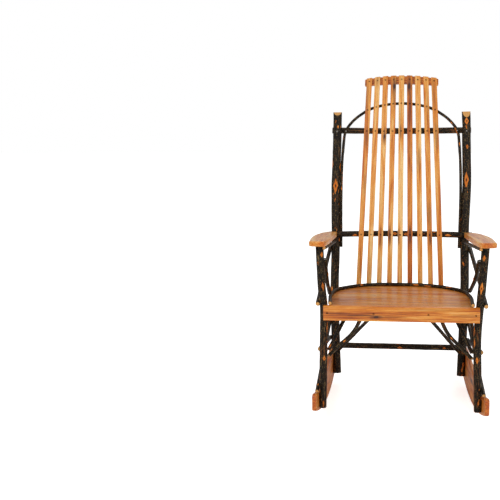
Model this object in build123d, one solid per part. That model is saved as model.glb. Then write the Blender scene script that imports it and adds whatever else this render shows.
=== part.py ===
from build123d import *
import math
import os

# A slat-back rocking chair of hickory: bark-on saplings for the frame, sawn boards for the slats,
# the arms, the seat and the rockers. Millimetres. X runs across, with +X at the right of someone who
# looks at the chair from the front. Y runs from front to back and Z is up. The origin is on the floor
# under the middle of the chair. left is -X and right is +X.

os.makedirs("parts", exist_ok=True)

SIDES = {"left": -1, "right": 1}

# ---- Driving dimensions ----

# How deep one piece is let into another, so that sticks sit in saddles and boards on flats.
stick_bite = 3
board_bite = 1

# Share of a stick's shorter run that a rounded corner takes up.
corner_share = 0.45

# Front posts: centre of the foot, centre of the top, and how far each bends sideways at a height.
front_post_diameter = 27
front_foot_half_span = 265
front_foot_depth = -293
front_foot_height = 53
front_top_half_span = 274
front_top_depth = -321
front_bends = {"left": [(328, -9), (416, -12), (493, -4)], "right": [(328, -14), (416, -10), (493, -5)]}

# Rear posts, which lean back and end in a slanted saw cut.
rear_post_diameter = 33
rear_foot_half_span = 237
rear_foot_depth = 141
rear_foot_height = 41
rear_top_half_span = 244.5
rear_top_depth = 322
rear_top_height = 1036
rear_bends = {
    "left": [(196, 6), (367, 11), (531, 5), (741, 8), (921, 1)],
    "right": [(196, 3), (367, 8), (591, 2), (761, 9), (901, 4)],
}
rear_top_cut_angle = {"left": 34, "right": 48}

# Sticks across the back: height, overall length and rise of the middle above the ends.
cross_stick_diameter = 22.5
upper_stick_diameter = 23.5
upper_stick_height = 963
upper_stick_length = 531
upper_stick_rise = -3
mid_stick_height = 577
mid_stick_length = 541
mid_stick_rise = 5
rear_rail_height = 341
rear_rail_length = 524
rear_rail_rise = 2

# Back slats, which fan out downwards.
slat_count = 9
slat_thickness = 8.5
slat_top_width = 21
slat_foot_width = 18.5
slat_top_pitch = 30.9
slat_foot_pitch = 39.5
slat_below_rail = 20
slat_top_height = 1171

# Crest rail behind the tops of the slats.
crest_length = 283
crest_height = 31
crest_thickness = 12
crest_top_rise = 13
crest_bottom_rise = 9
crest_corner_radius = 5

# Back hoop: a thin bent sapling behind the slats, down the inner sides of the rear posts.
back_hoop_diameter = 11
back_hoop_end_height = 522
back_hoop_top_height = 1064
back_hoop_half_span = 228
back_hoop_low_height = 721.25
back_hoop_shoulder_height = 850
back_hoop_shoulder_setback = 2
back_hoop_shoulder_spread = 0.99
back_hoop_upper_spread = 0.95
# Corners of the hoop near its top: share of the half span, drop of the place behind the slats whose
# depth it takes, how far in front of that depth, and its own drop below the top.
back_hoop_top_corners = [(0.80, 30.3, 12, 58.3), (0.53, 15, 0, 17), (0.18, 0, 0, -1)]

# Seat: a dished row of slats from side to side.
seat_front_height = 427
seat_back_height = 388
seat_back_depth = 160
seat_dish = 13
seat_slat_thickness = 13
seat_front_slat_width = 100
seat_slat_count = 6
seat_slat_gap = 5

apron_length = 520
apron_height = 50
apron_thickness = 19
apron_nose_radius = 14
apron_gap = 1.5

bearer_thickness = 19
bearer_half_span = 91
bearer_front_height = 35
bearer_full_height_depth = -200
bearer_past_rail = 10

# Seat hoop: a bent sapling on the ends of the seat slats. Corners of its route, seen from above.
seat_hoop_diameter = 13
seat_hoop_front_depth = -321
seat_hoop_front_half_span = 238
seat_hoop_side_half_span = 252
seat_hoop_side_depth = -60
seat_hoop_corner_half_span = 234
seat_hoop_corner_depth = 66
seat_hoop_quarter_half_span = 140
seat_hoop_quarter_depth = 134
seat_hoop_middle_half_span = 60

# Arms: the top face slopes down to the back.
arm_thickness = 18
arm_front_height = 656
arm_front_depth = -378
arm_slope = 6.8
arm_inner_half_span = 241
arm_front_width = 65
arm_widest_half_span = 313
arm_widest_depth = -160
arm_rear_width = 32
arm_shoulder_half_span = 300
arm_shoulder_depth = 100
arm_front_radius = 16
arm_end_clearance = 0.5

arm_rail_diameter = 11.5
arm_rail_front_depth = -371
arm_rail_rear_height = 545

# Sticks that cross under the arms.
arm_brace_diameter = 15
arm_brace_rear_height = 520
arm_brace_front_height = 434
arm_brace_rear_overrun = 12
arm_brace_front_overrun = 18
arm_brace_bow = 2
arm_brace_sag = 4
arm_prop_diameter = 14
arm_prop_top_height = 582
arm_prop_turn = 25
arm_prop_knee = {"left": (254, -230, 490), "right": (253, -200, 493)}
arm_prop_foot = {"left": (251, -110, 418), "right": (253, 20, 403)}

# Rockers: boards on the outer sides of the posts, which converge to the back.
rocker_radius = 1040
rocker_contact_depth = -8
rocker_thickness = 16
rocker_bite = 2
rocker_front_depth = -373
rocker_rear_depth = 368
rocker_front_tip_height = 62
rocker_rear_tip_height = 46
rocker_waist_depth = -205
rocker_waist_height = 84
rocker_heel_depth = 95
rocker_heel_height = 124
rocker_tip_radius = 14
rocker_bolt_rises = (16, 46)

# Sticks under the seat.
rear_stretcher_diameter = 22.5
rear_stretcher_height = 147
tenon_diameter = 13
tenon_length = 16
side_stretcher_diameter = 16
side_stretcher_front_height = 263
side_stretcher_rear_height = 176
side_stretcher_overrun = 10
stretcher_turn = 48
low_brace_diameter = 13
low_brace_front_height = 133
low_brace_rear_height = 241
low_brace_front_overrun = 40
side_prop_diameter = 12
side_prop_depth = -80
side_brace_diameter = 13
side_brace_foot_height = 260
side_brace_foot_setback = 10
side_brace_top_half_span = 171
side_brace_top_depth = -231
under_brace_diameter = 13
front_brace_foot_height = 238
front_brace_cut_angle = 42
front_brace_top_half_span = 128
front_brace_top_height = 394
front_brace_foot_overrun = 0.07
# Bends of a front brace: share of its run, outward and upward offset.
front_brace_bends = [(0.34, 2, -11), (0.70, -5, -20)]
rear_brace_foot_height = 135
rear_brace_top_depth = -130
rear_brace_turn = -48

# Fasteners.
screw_shank_diameter = 3.5
screw_head_diameter = 7
screw_head_height = 2.4
screw_reach = 0.7
nail_shank_diameter = 3
nail_head_diameter = 6
nail_head_height = 1.6
nail_head_proud = 0.4
nail_bite = 11
bolt_shank_diameter = 6
bolt_head_diameter = 13
bolt_head_height = 3
apron_screw_half_spans = (247, 91)
apron_screw_drop = 24
arm_screw_offset = 7

front_post_radius = front_post_diameter / 2
rear_post_radius = rear_post_diameter / 2
cross_radius = cross_stick_diameter / 2
upper_radius = upper_stick_diameter / 2

nodes = {}


# ---- Shared shapes ----

# A route through points. Each corner is rounded as widely as its two runs allow.
def rounded_route(points):
    points = [Vector(*point) for point in points]
    if len(points) == 2:
        return Wire([Line(*points)])
    radii = []
    for before, corner, after in zip(points, points[1:], points[2:]):
        run = min((corner - before).length, (after - corner).length)
        turn = math.radians((corner - before).get_angle(after - corner))
        radii.append(corner_share * run / math.tan(turn / 2))
    return Wire(FilletPolyline(*points, radius=radii).edges())


# A round stick along a route.
def stick(route, diameter):
    section = Plane(origin=route @ 0, z_dir=route % 0) * Circle(diameter / 2)
    return sweep(section, path=route).solid()


# The place on a route where one coordinate has a value, and the direction there.
def place_on(route, axis, value):
    def coordinate(share):
        return getattr(route @ share, axis)

    low, high = 0.0, 1.0
    rising = coordinate(high) > coordinate(low)
    for _ in range(40):
        middle = (low + high) / 2
        if (coordinate(middle) < value) == rising:
            low = middle
        else:
            high = middle
    return route @ low, route % low


# Takes other pieces out of one piece. A chip that the cut leaves loose is dropped.
def housed(piece, *others):
    for other in others:
        remainder = piece - other
        piece = max(remainder.solids(), key=lambda solid: solid.volume)
    return piece


# A prism from an outline on a plane, as thick on both sides of the plane.
def slab(plane, outline, thickness):
    face = plane * make_face(outline)
    return extrude(face, amount=thickness / 2, both=True).solid()


# A screw, nail or bolt from the middle of its head's outer face.
def fastener(start, direction, length, shank_diameter, head_diameter, head_height):
    frame = Plane(origin=start, z_dir=direction)
    shank = frame * Pos(0, 0, length / 2) * Cylinder(shank_diameter / 2, length)
    cone = Cone(head_diameter / 2, shank_diameter / 2, head_height)
    head = frame * Pos(0, 0, head_height / 2) * cone
    return (shank + head).solid()


def wood_screw(start, direction, length):
    return fastener(start, direction, length, screw_shank_diameter, screw_head_diameter, screw_head_height)


def nail(start, direction, length):
    return fastener(start, direction, length, nail_shank_diameter, nail_head_diameter, nail_head_height)


# Fits a group of fasteners into the pieces that they pass through.
def fasten(group, fasteners, *names):
    for name in names:
        box = nodes[name].bounding_box()
        near = [item for item in fasteners if boxes_meet(box, item.bounding_box())]
        if near:
            nodes[name] = housed(nodes[name], *near)
    nodes.setdefault(group, [])
    nodes[group] += fasteners


def boxes_meet(one, other):
    low = max(one.min.X - other.max.X, one.min.Y - other.max.Y, one.min.Z - other.max.Z)
    high = max(other.min.X - one.max.X, other.min.Y - one.max.Y, other.min.Z - one.max.Z)
    return max(low, high) < 0


# ---- Routes of the posts ----

def post_points(side, foot, top, bends):
    (foot_x, foot_y, foot_z), (top_x, top_y, top_z) = foot, top
    points = [(side * foot_x, foot_y, foot_z)]
    for height, bend in bends:
        share = (height - foot_z) / (top_z - foot_z)
        x = foot_x + (top_x - foot_x) * share + bend
        points.append((side * x, foot_y + (top_y - foot_y) * share, height))
    return points + [(side * top_x, top_y, top_z)]


def arm_top(depth):
    return arm_front_height - (depth - arm_front_depth) * math.tan(math.radians(arm_slope))


arm_vertical_thickness = arm_thickness / math.cos(math.radians(arm_slope))
front_top_height = arm_top(front_top_depth) - arm_vertical_thickness / 2
front_routes = {}
rear_routes = {}
for name, side in SIDES.items():
    front_foot = (front_foot_half_span, front_foot_depth, front_foot_height)
    front_top = (front_top_half_span, front_top_depth, front_top_height)
    front_routes[name] = rounded_route(post_points(side, front_foot, front_top, front_bends[name]))
    rear_foot = (rear_foot_half_span, rear_foot_depth, rear_foot_height)
    rear_top = (rear_top_half_span, rear_top_depth, rear_top_height)
    rear_routes[name] = rounded_route(post_points(side, rear_foot, rear_top, rear_bends[name]))


def front_post_at(name, height):
    return place_on(front_routes[name], "Z", height)[0]


def rear_post_at(name, height):
    return place_on(rear_routes[name], "Z", height)[0]


def rear_post_depth(height):
    return (rear_post_at("left", height).Y + rear_post_at("right", height).Y) / 2


# ---- Posts ----

for name, side in SIDES.items():
    nodes[f"front_post_{name}"] = stick(front_routes[name], front_post_diameter)
    post = stick(rear_routes[name], rear_post_diameter)
    saw_place = Pos(*(rear_routes[name] @ 1)) * Rot(rear_top_cut_angle[name], 0, 0)
    waste_size = 3 * rear_post_diameter
    waste = saw_place * Pos(0, 0, waste_size / 2) * Box(waste_size, waste_size, waste_size)
    nodes[f"rear_post_{name}"] = housed(post, waste)

# ---- Sticks across the back and the rear rail of the seat ----

# Set back from the posts' centres by what the two radii and the saddle leave. forward is -1 in front
# of the posts and 1 behind them.
def cross_route(height, length, rise, diameter, forward):
    reach = rear_post_radius + diameter / 2 - stick_bite
    depth = rear_post_depth(height) + forward * reach
    half = length / 2
    points = [(-half, depth, height - rise / 2), (-half / 3, depth, height + rise / 2)]
    points += [(half / 2.6, depth, height + rise / 2.2), (half, depth, height - rise / 3)]
    return rounded_route(points)


upper_route = cross_route(upper_stick_height, upper_stick_length, upper_stick_rise, upper_stick_diameter, 1)
mid_route = cross_route(mid_stick_height, mid_stick_length, mid_stick_rise, cross_stick_diameter, -1)
rail_route = cross_route(rear_rail_height, rear_rail_length, rear_rail_rise, cross_stick_diameter, -1)
rear_run = Vector(0, rear_top_depth - rear_foot_depth, rear_top_height - rear_foot_height)
rear_post_lean = math.degrees(math.atan2(rear_run.Y, rear_run.Z))
rear_posts = [nodes["rear_post_left"], nodes["rear_post_right"]]
front_posts = [nodes["front_post_left"], nodes["front_post_right"]]
nodes["upper_cross_stick"] = housed(stick(upper_route, upper_stick_diameter), *rear_posts)
nodes["mid_cross_stick"] = housed(stick(mid_route, cross_stick_diameter), *rear_posts)
nodes["rear_seat_rail"] = housed(stick(rail_route, cross_stick_diameter), *rear_posts)

# ---- Back slats ----

# The slats lie in one gently bent sheet that touches the rear rail, the mid stick and the upper stick.
def slat_contact(route, radius):
    centre = route @ 0.5
    return Vector(0, centre.Y - radius - slat_thickness / 2 + board_bite, centre.Z)


rail_contact = slat_contact(rail_route, cross_radius)
mid_contact = slat_contact(mid_route, cross_radius)
upper_contact = slat_contact(upper_route, upper_radius)
bend = ThreePointArc(rail_contact, mid_contact, upper_contact)
slat_foot = rail_contact - (bend % 0) * slat_below_rail
slat_top = upper_contact + (bend % 1) * ((slat_top_height - upper_contact.Z) / (bend % 1).Z)
slat_route = Wire([Line(slat_foot, rail_contact), bend, Line(upper_contact, slat_top)])

slat_middle = (slat_count - 1) / 2


def slat_pitch(height):
    share = (height - slat_foot.Z) / (slat_top_height - slat_foot.Z)
    return slat_foot_pitch + (slat_top_pitch - slat_foot_pitch) * share


def slat_x(index, height):
    return (index - slat_middle) * slat_pitch(height)


def slat_solid(index):
    low, high = slat_foot.Z - slat_thickness, slat_top_height + slat_thickness
    corners = []
    for height, width, way in (
        (low, slat_foot_width, -1),
        (low, slat_foot_width, 1),
        (high, slat_top_width, 1),
        (high, slat_top_width, -1),
    ):
        corners.append((slat_x(index, height) + way * width / 2, height))
    section_plane = Plane(origin=slat_route @ 0, x_dir=(1, 0, 0), z_dir=slat_route % 0)
    sheet_width = slat_foot_pitch * slat_count + slat_foot_width
    sheet = sweep(section_plane * Rectangle(sheet_width, slat_thickness), path=slat_route).solid()
    front_view = Plane(origin=(0, slat_route.center().Y, 0), x_dir=(1, 0, 0), z_dir=(0, -1, 0))
    strip = slab(front_view, Polyline(*corners, close=True), 2 * slat_top_height)
    return (sheet & strip).solid()


# ---- Crest rail ----

# A frame on the slats' back face at their tops: x across, y up along the slats, z to the back.
crest_direction = slat_route % 1
crest_back = Vector(0, crest_direction.Z, -crest_direction.Y)
crest_origin = slat_top + crest_back * (slat_thickness / 2)
crest_frame = Plane(origin=crest_origin, x_dir=(-1, 0, 0), z_dir=crest_back)


def arch(half_length, rise, top):
    return ThreePointArc((-half_length, top - rise), (0, top), (half_length, top - rise))


crest_half = crest_length / 2
crest_top_arc = arch(crest_half, crest_top_rise, 0)
crest_bottom_arc = arch(crest_half, crest_bottom_rise, -crest_height)
crest_ends = [Line(crest_top_arc @ 0, crest_bottom_arc @ 0), Line(crest_top_arc @ 1, crest_bottom_arc @ 1)]
crest_face = make_face(Curve() + [crest_top_arc, crest_bottom_arc, *crest_ends])
crest_face = fillet(crest_face.vertices(), crest_corner_radius)
nodes["crest_rail"] = extrude(crest_frame * crest_face, amount=crest_thickness).solid()

# The tops of the slats follow the crest's arch.
above_sides = Polyline(
    crest_top_arc @ 0,
    (-crest_half, crest_height),
    (crest_half, crest_height),
    crest_top_arc @ 1,
)
above_crest = slab(crest_frame, Curve() + [crest_top_arc, above_sides], 4 * crest_thickness)

for index in range(slat_count):
    nodes[f"back_slat_{index + 1}"] = housed(slat_solid(index), above_crest)
slats = [nodes[f"back_slat_{index + 1}"] for index in range(slat_count)]
for name in ("upper_cross_stick", "mid_cross_stick", "rear_seat_rail"):
    nodes[name] = housed(nodes[name], *slats)

# ---- Back hoop ----

# Its legs run beside the posts, pass in front of the upper stick and meet behind the slats.
hoop_radius = back_hoop_diameter / 2


def behind_slats(height):
    place, way = place_on(slat_route, "Z", height)
    return place.Y + (slat_thickness / 2 + hoop_radius - board_bite) / way.Z


def hoop_leg(side_name):
    side = SIDES[side_name]
    end = rear_post_at(side_name, back_hoop_end_height)
    beside = rear_post_radius + hoop_radius - board_bite
    front_of_upper = (upper_route @ 0.5).Y - upper_radius - hoop_radius + board_bite
    shoulder_depth = rear_post_depth(back_hoop_shoulder_height) + back_hoop_shoulder_setback
    span = side * back_hoop_half_span
    points = [
        (end.X - side * beside, end.Y, end.Z),
        (span, rear_post_depth(back_hoop_low_height), back_hoop_low_height),
        (span * back_hoop_shoulder_spread, shoulder_depth, back_hoop_shoulder_height),
        (span * back_hoop_upper_spread, front_of_upper, upper_stick_height),
    ]
    for spread, depth_drop, setback, drop in back_hoop_top_corners:
        depth = behind_slats(back_hoop_top_height - depth_drop) - setback
        points.append((span * spread, depth, back_hoop_top_height - drop))
    return points


hoop_leg_routes = {name: rounded_route(hoop_leg(name)) for name in SIDES}
back_hoop_route = rounded_route(hoop_leg("left") + hoop_leg("right")[::-1])
back_hoop = stick(back_hoop_route, back_hoop_diameter)
nodes["back_hoop"] = housed(back_hoop, *slats, nodes["upper_cross_stick"], *rear_posts)

# ---- Apron ----

apron_middle_height = seat_front_height - apron_height / 2
post_front = front_post_at("left", apron_middle_height).Y - front_post_radius
apron_back_depth = post_front + board_bite
apron_place = Pos(0, apron_back_depth - apron_thickness / 2, apron_middle_height)
apron = Box(apron_length, apron_thickness, apron_height)
apron_nose = apron.edges().filter_by(Axis.X).group_by(Axis.Z)[-1].sort_by(Axis.Y)[0]
nodes["front_apron"] = (apron_place * fillet(apron_nose, apron_nose_radius)).solid()
for name in SIDES:
    nodes[f"front_post_{name}"] = housed(nodes[f"front_post_{name}"], nodes["front_apron"])

# ---- Seat ----

seat_start_depth = apron_back_depth + apron_gap


# Height of the seat's top face at a depth: a line from front to back, with a dish in it.
def seat_top(depth):
    share = (depth - seat_start_depth) / (seat_back_depth - seat_start_depth)
    line = seat_front_height + (seat_back_height - seat_front_height) * share
    return line - seat_dish * math.sin(math.pi * min(max(share, 0), 1))


def seat_hoop_points(side):
    corner_points = [
        (seat_hoop_front_half_span, seat_hoop_front_depth),
        (seat_hoop_side_half_span, seat_hoop_side_depth),
        (seat_hoop_corner_half_span, seat_hoop_corner_depth),
        (seat_hoop_quarter_half_span, seat_hoop_quarter_depth),
    ]
    rise = seat_hoop_radius - board_bite
    return [(side * x, y, seat_top(y) + rise) for x, y in corner_points]


seat_hoop_radius = seat_hoop_diameter / 2
slats_front, slats_way = place_on(slat_route, "Z", seat_back_height + seat_hoop_radius)
seat_hoop_back = slats_front.Y - (slat_thickness / 2 + seat_hoop_radius - board_bite) / slats_way.Z
hoop_back_height = seat_top(seat_back_depth) + seat_hoop_radius - board_bite
seat_hoop_middle = [
    (side * seat_hoop_middle_half_span, seat_hoop_back, hoop_back_height) for side in SIDES.values()
]
seat_hoop_corners = seat_hoop_points(-1) + seat_hoop_middle + seat_hoop_points(1)[::-1]
seat_hoop_route = rounded_route(seat_hoop_corners)

# The slats end under the middle of the hoop.
flat_corners = [(x, y, 0) for x, y, z in seat_hoop_corners]
outline_route = rounded_route(flat_corners)
outline_close = Line(outline_route @ 1, outline_route @ 0)
outline_face = make_face(outline_route.edges() + [outline_close])
outline_prism = extrude(outline_face, amount=2 * seat_front_height).solid()

seat_slat_width = (
    seat_back_depth - seat_start_depth - seat_front_slat_width - (seat_slat_count - 1) * seat_slat_gap
) / (seat_slat_count - 1)
seat_under = []
edge = seat_start_depth
for index in range(seat_slat_count):
    width = seat_slat_width if index else seat_front_slat_width
    front_edge = Vector(0, edge, seat_top(edge))
    back_edge = Vector(0, edge + width, seat_top(edge + width))
    drop = Vector(0, 0, -seat_slat_thickness)
    section = Polyline(front_edge, back_edge, back_edge + drop, front_edge + drop, close=True)
    board = extrude(make_face(section), amount=2 * seat_hoop_side_half_span, dir=(1, 0, 0))
    board = Pos(-seat_hoop_side_half_span, 0, 0) * board
    nodes[f"seat_slat_{index + 1}"] = (board.solid() & outline_prism).solid()
    seat_under += [front_edge + drop, back_edge + drop]
    edge += width + seat_slat_gap
seat_slats = [nodes[f"seat_slat_{index + 1}"] for index in range(seat_slat_count)]
seat_hoop = stick(seat_hoop_route, seat_hoop_diameter)
nodes["seat_hoop"] = housed(seat_hoop, *seat_slats, *slats, *front_posts)

# ---- Bearers under the seat slats ----

rail_centre = rail_route @ 0.5
bearer_end_depth = rail_centre.Y + bearer_past_rail
bearer_foot = rail_centre.Z + cross_radius - stick_bite
bearer_front_foot = seat_front_height - seat_slat_thickness - bearer_front_height
bearer_outline = Polyline(
    Vector(0, apron_back_depth, seat_under[0].Z),
    *seat_under,
    Vector(0, bearer_end_depth, seat_under[-1].Z),
    Vector(0, bearer_end_depth, bearer_foot),
    Vector(0, bearer_full_height_depth, bearer_foot),
    Vector(0, apron_back_depth, bearer_front_foot),
    close=True,
)
bearer_width = 2 * seat_hoop_side_half_span
bearer_block = Pos(-seat_hoop_side_half_span, 0, 0) * extrude(
    make_face(bearer_outline), amount=bearer_width, dir=(1, 0, 0)
)


def bearer(front_x, rear_x):
    half = bearer_thickness / 2
    plan = Polyline(
        (front_x - half, apron_back_depth),
        (front_x + half, apron_back_depth),
        (rear_x + half, bearer_end_depth),
        (rear_x - half, bearer_end_depth),
        close=True,
    )
    strip = extrude(make_face(plan), amount=2 * seat_front_height)
    return (bearer_block & strip).solid()


# Distance of a side bearer's centre from the middle of the chair, at a depth.
def side_bearer_span(name, depth):
    inset = bearer_thickness / 2 - board_bite
    front_span = abs(front_post_at(name, apron_middle_height).X) - front_post_radius - inset
    rear_span = abs(rear_post_at(name, rear_rail_height).X) - rear_post_radius - inset
    share = (depth - apron_back_depth) / (bearer_end_depth - apron_back_depth)
    return front_span + (rear_span - front_span) * share


for name, side in SIDES.items():
    front_x = side * side_bearer_span(name, apron_back_depth)
    rear_x = side * side_bearer_span(name, bearer_end_depth)
    side_bearer = bearer(front_x, rear_x)
    middle_bearer = bearer(side * bearer_half_span, side * bearer_half_span)
    rail = nodes["rear_seat_rail"]
    posts = [nodes[f"front_post_{name}"], nodes[f"rear_post_{name}"]]
    nodes[f"side_bearer_{name}"] = housed(side_bearer, rail, *posts)
    nodes[f"middle_bearer_{name}"] = housed(middle_bearer, rail, *slats)

# ---- Arms ----

arm_plane = Plane(
    origin=(0, arm_front_depth, arm_front_height),
    x_dir=(1, 0, 0),
    z_dir=Vector(0, math.sin(math.radians(arm_slope)), math.cos(math.radians(arm_slope))),
)
mid_stick_depth = (mid_route @ 0.5).Y
arm_length = (mid_stick_depth - arm_front_depth) / math.cos(math.radians(arm_slope))


def arm_outline(side):
    inner = side * arm_inner_half_span
    front_outer = side * (arm_inner_half_span + arm_front_width)
    rear_outer = side * (arm_inner_half_span + arm_rear_width)
    widest = (side * arm_widest_half_span, arm_widest_depth - arm_front_depth)
    shoulder = (side * arm_shoulder_half_span, arm_shoulder_depth - arm_front_depth)
    outer_start = (front_outer, arm_front_radius)
    outer_edge = Spline(outer_start, widest, shoulder, (rear_outer, arm_length))
    nose_middle = ((inner + front_outer) / 2, -arm_front_radius / 4)
    nose = ThreePointArc((inner, arm_front_radius / 2), nose_middle, outer_start)
    closing = Polyline((rear_outer, arm_length), (inner, arm_length), (inner, arm_front_radius / 2))
    return Curve() + [nose, outer_edge, closing]


for name, side in SIDES.items():
    face = arm_plane * make_face(arm_outline(side))
    board = extrude(face, amount=-arm_thickness).solid()
    # The rear corner is sawn off, so that no wood stands beside the sawn end of the mid stick.
    corner_size = 3 * arm_rear_width
    corner_x = side * (mid_stick_length / 2 - arm_end_clearance + corner_size / 2)
    corner_y = arm_length - cross_radius + corner_size / 2
    corner = arm_plane * Pos(corner_x, corner_y, 0) * Box(corner_size, corner_size, 4 * arm_thickness)
    nodes[f"arm_{name}"] = housed(board, corner, nodes["mid_cross_stick"], nodes[f"rear_post_{name}"])
    nodes[f"front_post_{name}"] = housed(nodes[f"front_post_{name}"], nodes[f"arm_{name}"])

# ---- Sticks under the arms ----

# Where a nail holds a stick: the stick's centre, the centre of what it is nailed to, the stick's radius.
nail_places = []

rail_radius = arm_rail_diameter / 2
arm_brace_radius = arm_brace_diameter / 2
arm_prop_radius = arm_prop_diameter / 2


def arm_rail_height(depth):
    return arm_top(depth) - arm_vertical_thickness - rail_radius + board_bite


for name, side in SIDES.items():
    front_post = nodes[f"front_post_{name}"]
    rear_post = nodes[f"rear_post_{name}"]
    front_centre = front_post_at(name, front_top_height - arm_thickness)
    rear_centre = rear_post_at(name, arm_rail_rear_height)
    rail_front_x = front_centre.X - side * (front_post_radius + rail_radius - board_bite)
    rail_front = (rail_front_x, arm_rail_front_depth, arm_rail_height(arm_rail_front_depth))
    rail_line = rounded_route([rail_front, rear_centre])
    rail = stick(rail_line, arm_rail_diameter)
    rail_place = place_on(rail_line, "Y", front_centre.Y)[0]
    nail_places.append((rail_place, front_post_at(name, rail_place.Z), rail_radius))
    nodes[f"arm_rail_{name}"] = housed(
        rail, nodes[f"arm_{name}"], front_post, rear_post, nodes["mid_cross_stick"], nodes["back_hoop"]
    )

    # Outer brace, from the rear post down to the front post, past both on the outside.
    brace_reach = arm_brace_radius - stick_bite
    rear_place = rear_post_at(name, arm_brace_rear_height)
    front_place = front_post_at(name, arm_brace_front_height)
    rear_point = rear_place + Vector(side * (rear_post_radius + brace_reach), 0, 0)
    front_point = front_place + Vector(side * (front_post_radius + brace_reach), 0, 0)
    nail_places.append((rear_point, rear_place, arm_brace_radius))
    nail_places.append((front_point, front_place, arm_brace_radius))
    way = (front_point - rear_point).normalized()
    middle = (rear_point + front_point) / 2 + Vector(side * arm_brace_bow, 0, -arm_brace_sag)
    brace_line = rounded_route(
        [rear_point - way * arm_brace_rear_overrun, middle, front_point + way * arm_brace_front_overrun]
    )
    brace = stick(brace_line, arm_brace_diameter)
    nodes[f"arm_brace_{name}"] = housed(brace, rear_post, front_post)

    # Inner prop, from the back of the front post's inner side down to the seat hoop.
    prop_place = front_post_at(name, arm_prop_top_height)
    offset = Vector(front_post_radius + arm_prop_radius - stick_bite, 0, 0).rotate(Axis.Z, -arm_prop_turn)
    prop_top = prop_place - Vector(side * offset.X, offset.Y, 0)
    knee_x, knee_y, knee_z = arm_prop_knee[name]
    foot_x, foot_y, foot_z = arm_prop_foot[name]
    prop_line = rounded_route([prop_top, (side * knee_x, knee_y, knee_z), (side * foot_x, foot_y, foot_z)])
    prop = stick(prop_line, arm_prop_diameter)
    nail_places.append((prop_top, prop_place, arm_prop_radius))
    nodes[f"arm_prop_{name}"] = housed(
        prop, front_post, nodes["seat_hoop"], *seat_slats, nodes[f"side_bearer_{name}"]
    )

# ---- Rockers ----

front_rocker_x = front_post_at("right", front_foot_height).X + front_post_radius - rocker_bite
rear_rocker_x = rear_post_at("right", rear_foot_height).X + rear_post_radius - rocker_bite
rocker_turn = math.atan2(rear_rocker_x - front_rocker_x, rear_foot_depth - front_foot_depth)


# Height of the sole's edge, an arc that is level at the place where the chair stands.
def rocker_sole(depth):
    return rocker_radius - math.sqrt(rocker_radius**2 - (depth - rocker_contact_depth) ** 2)


def sole_arc(start, end):
    middle = (start + end) / 2
    return ThreePointArc(*[(depth, rocker_sole(depth)) for depth in (start, middle, end)])


def rocker_solid(side):
    front_sole = (rocker_front_depth, rocker_sole(rocker_front_depth))
    rear_sole = (rocker_rear_depth, rocker_sole(rocker_rear_depth))
    front_tip = (rocker_front_depth, front_sole[1] + rocker_front_tip_height)
    rear_tip = (rocker_rear_depth, rear_sole[1] + rocker_rear_tip_height)
    waist = (rocker_waist_depth, rocker_sole(rocker_waist_depth) + rocker_waist_height)
    heel = (rocker_heel_depth, rocker_sole(rocker_heel_depth) + rocker_heel_height)
    sole = [sole_arc(rocker_front_depth, rocker_contact_depth), sole_arc(rocker_contact_depth, rocker_rear_depth)]
    top = Spline(front_tip, waist, heel, rear_tip)
    outline = Curve() + [*sole, Line(rear_sole, rear_tip), top, Line(front_tip, front_sole)]
    face = make_face(outline)
    tips = [vertex for vertex in face.vertices() if vertex.Y > rocker_tip_radius]
    tips = [vertex for vertex in tips if vertex.Y > rocker_sole(vertex.X) + rocker_tip_radius]
    face = fillet(tips, rocker_tip_radius)
    inner = Plane(
        origin=(side * front_rocker_x, front_foot_depth, 0),
        x_dir=(side * math.sin(rocker_turn), math.cos(rocker_turn), 0),
        z_dir=(math.cos(rocker_turn), -side * math.sin(rocker_turn), 0),
    )
    face = inner * Pos(-front_foot_depth, 0, 0) * face
    return extrude(face, amount=side * rocker_thickness).solid()


for name, side in SIDES.items():
    rocker = rocker_solid(side)
    nodes[f"rocker_{name}"] = rocker
    for post in (f"front_post_{name}", f"rear_post_{name}"):
        nodes[post] = housed(nodes[post], rocker)

# ---- Sticks between the posts ----

left_end = rear_post_at("left", rear_stretcher_height)
right_end = rear_post_at("right", rear_stretcher_height)
shoulder = rear_post_radius - stick_bite
stretcher_body = rounded_route([left_end + Vector(shoulder, 0, 0), right_end - Vector(shoulder, 0, 0)])
tenon_run = Vector(shoulder - tenon_length, 0, 0)
tenon_body = rounded_route([left_end + tenon_run, right_end - tenon_run])
stretcher = stick(stretcher_body, rear_stretcher_diameter) + stick(tenon_body, tenon_diameter)
nodes["rear_stretcher"] = stretcher.solid()

side_stretcher_radius = side_stretcher_diameter / 2
low_brace_radius = low_brace_diameter / 2
side_prop_radius = side_prop_diameter / 2
side_brace_radius = side_brace_diameter / 2
under_brace_radius = under_brace_diameter / 2

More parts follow.
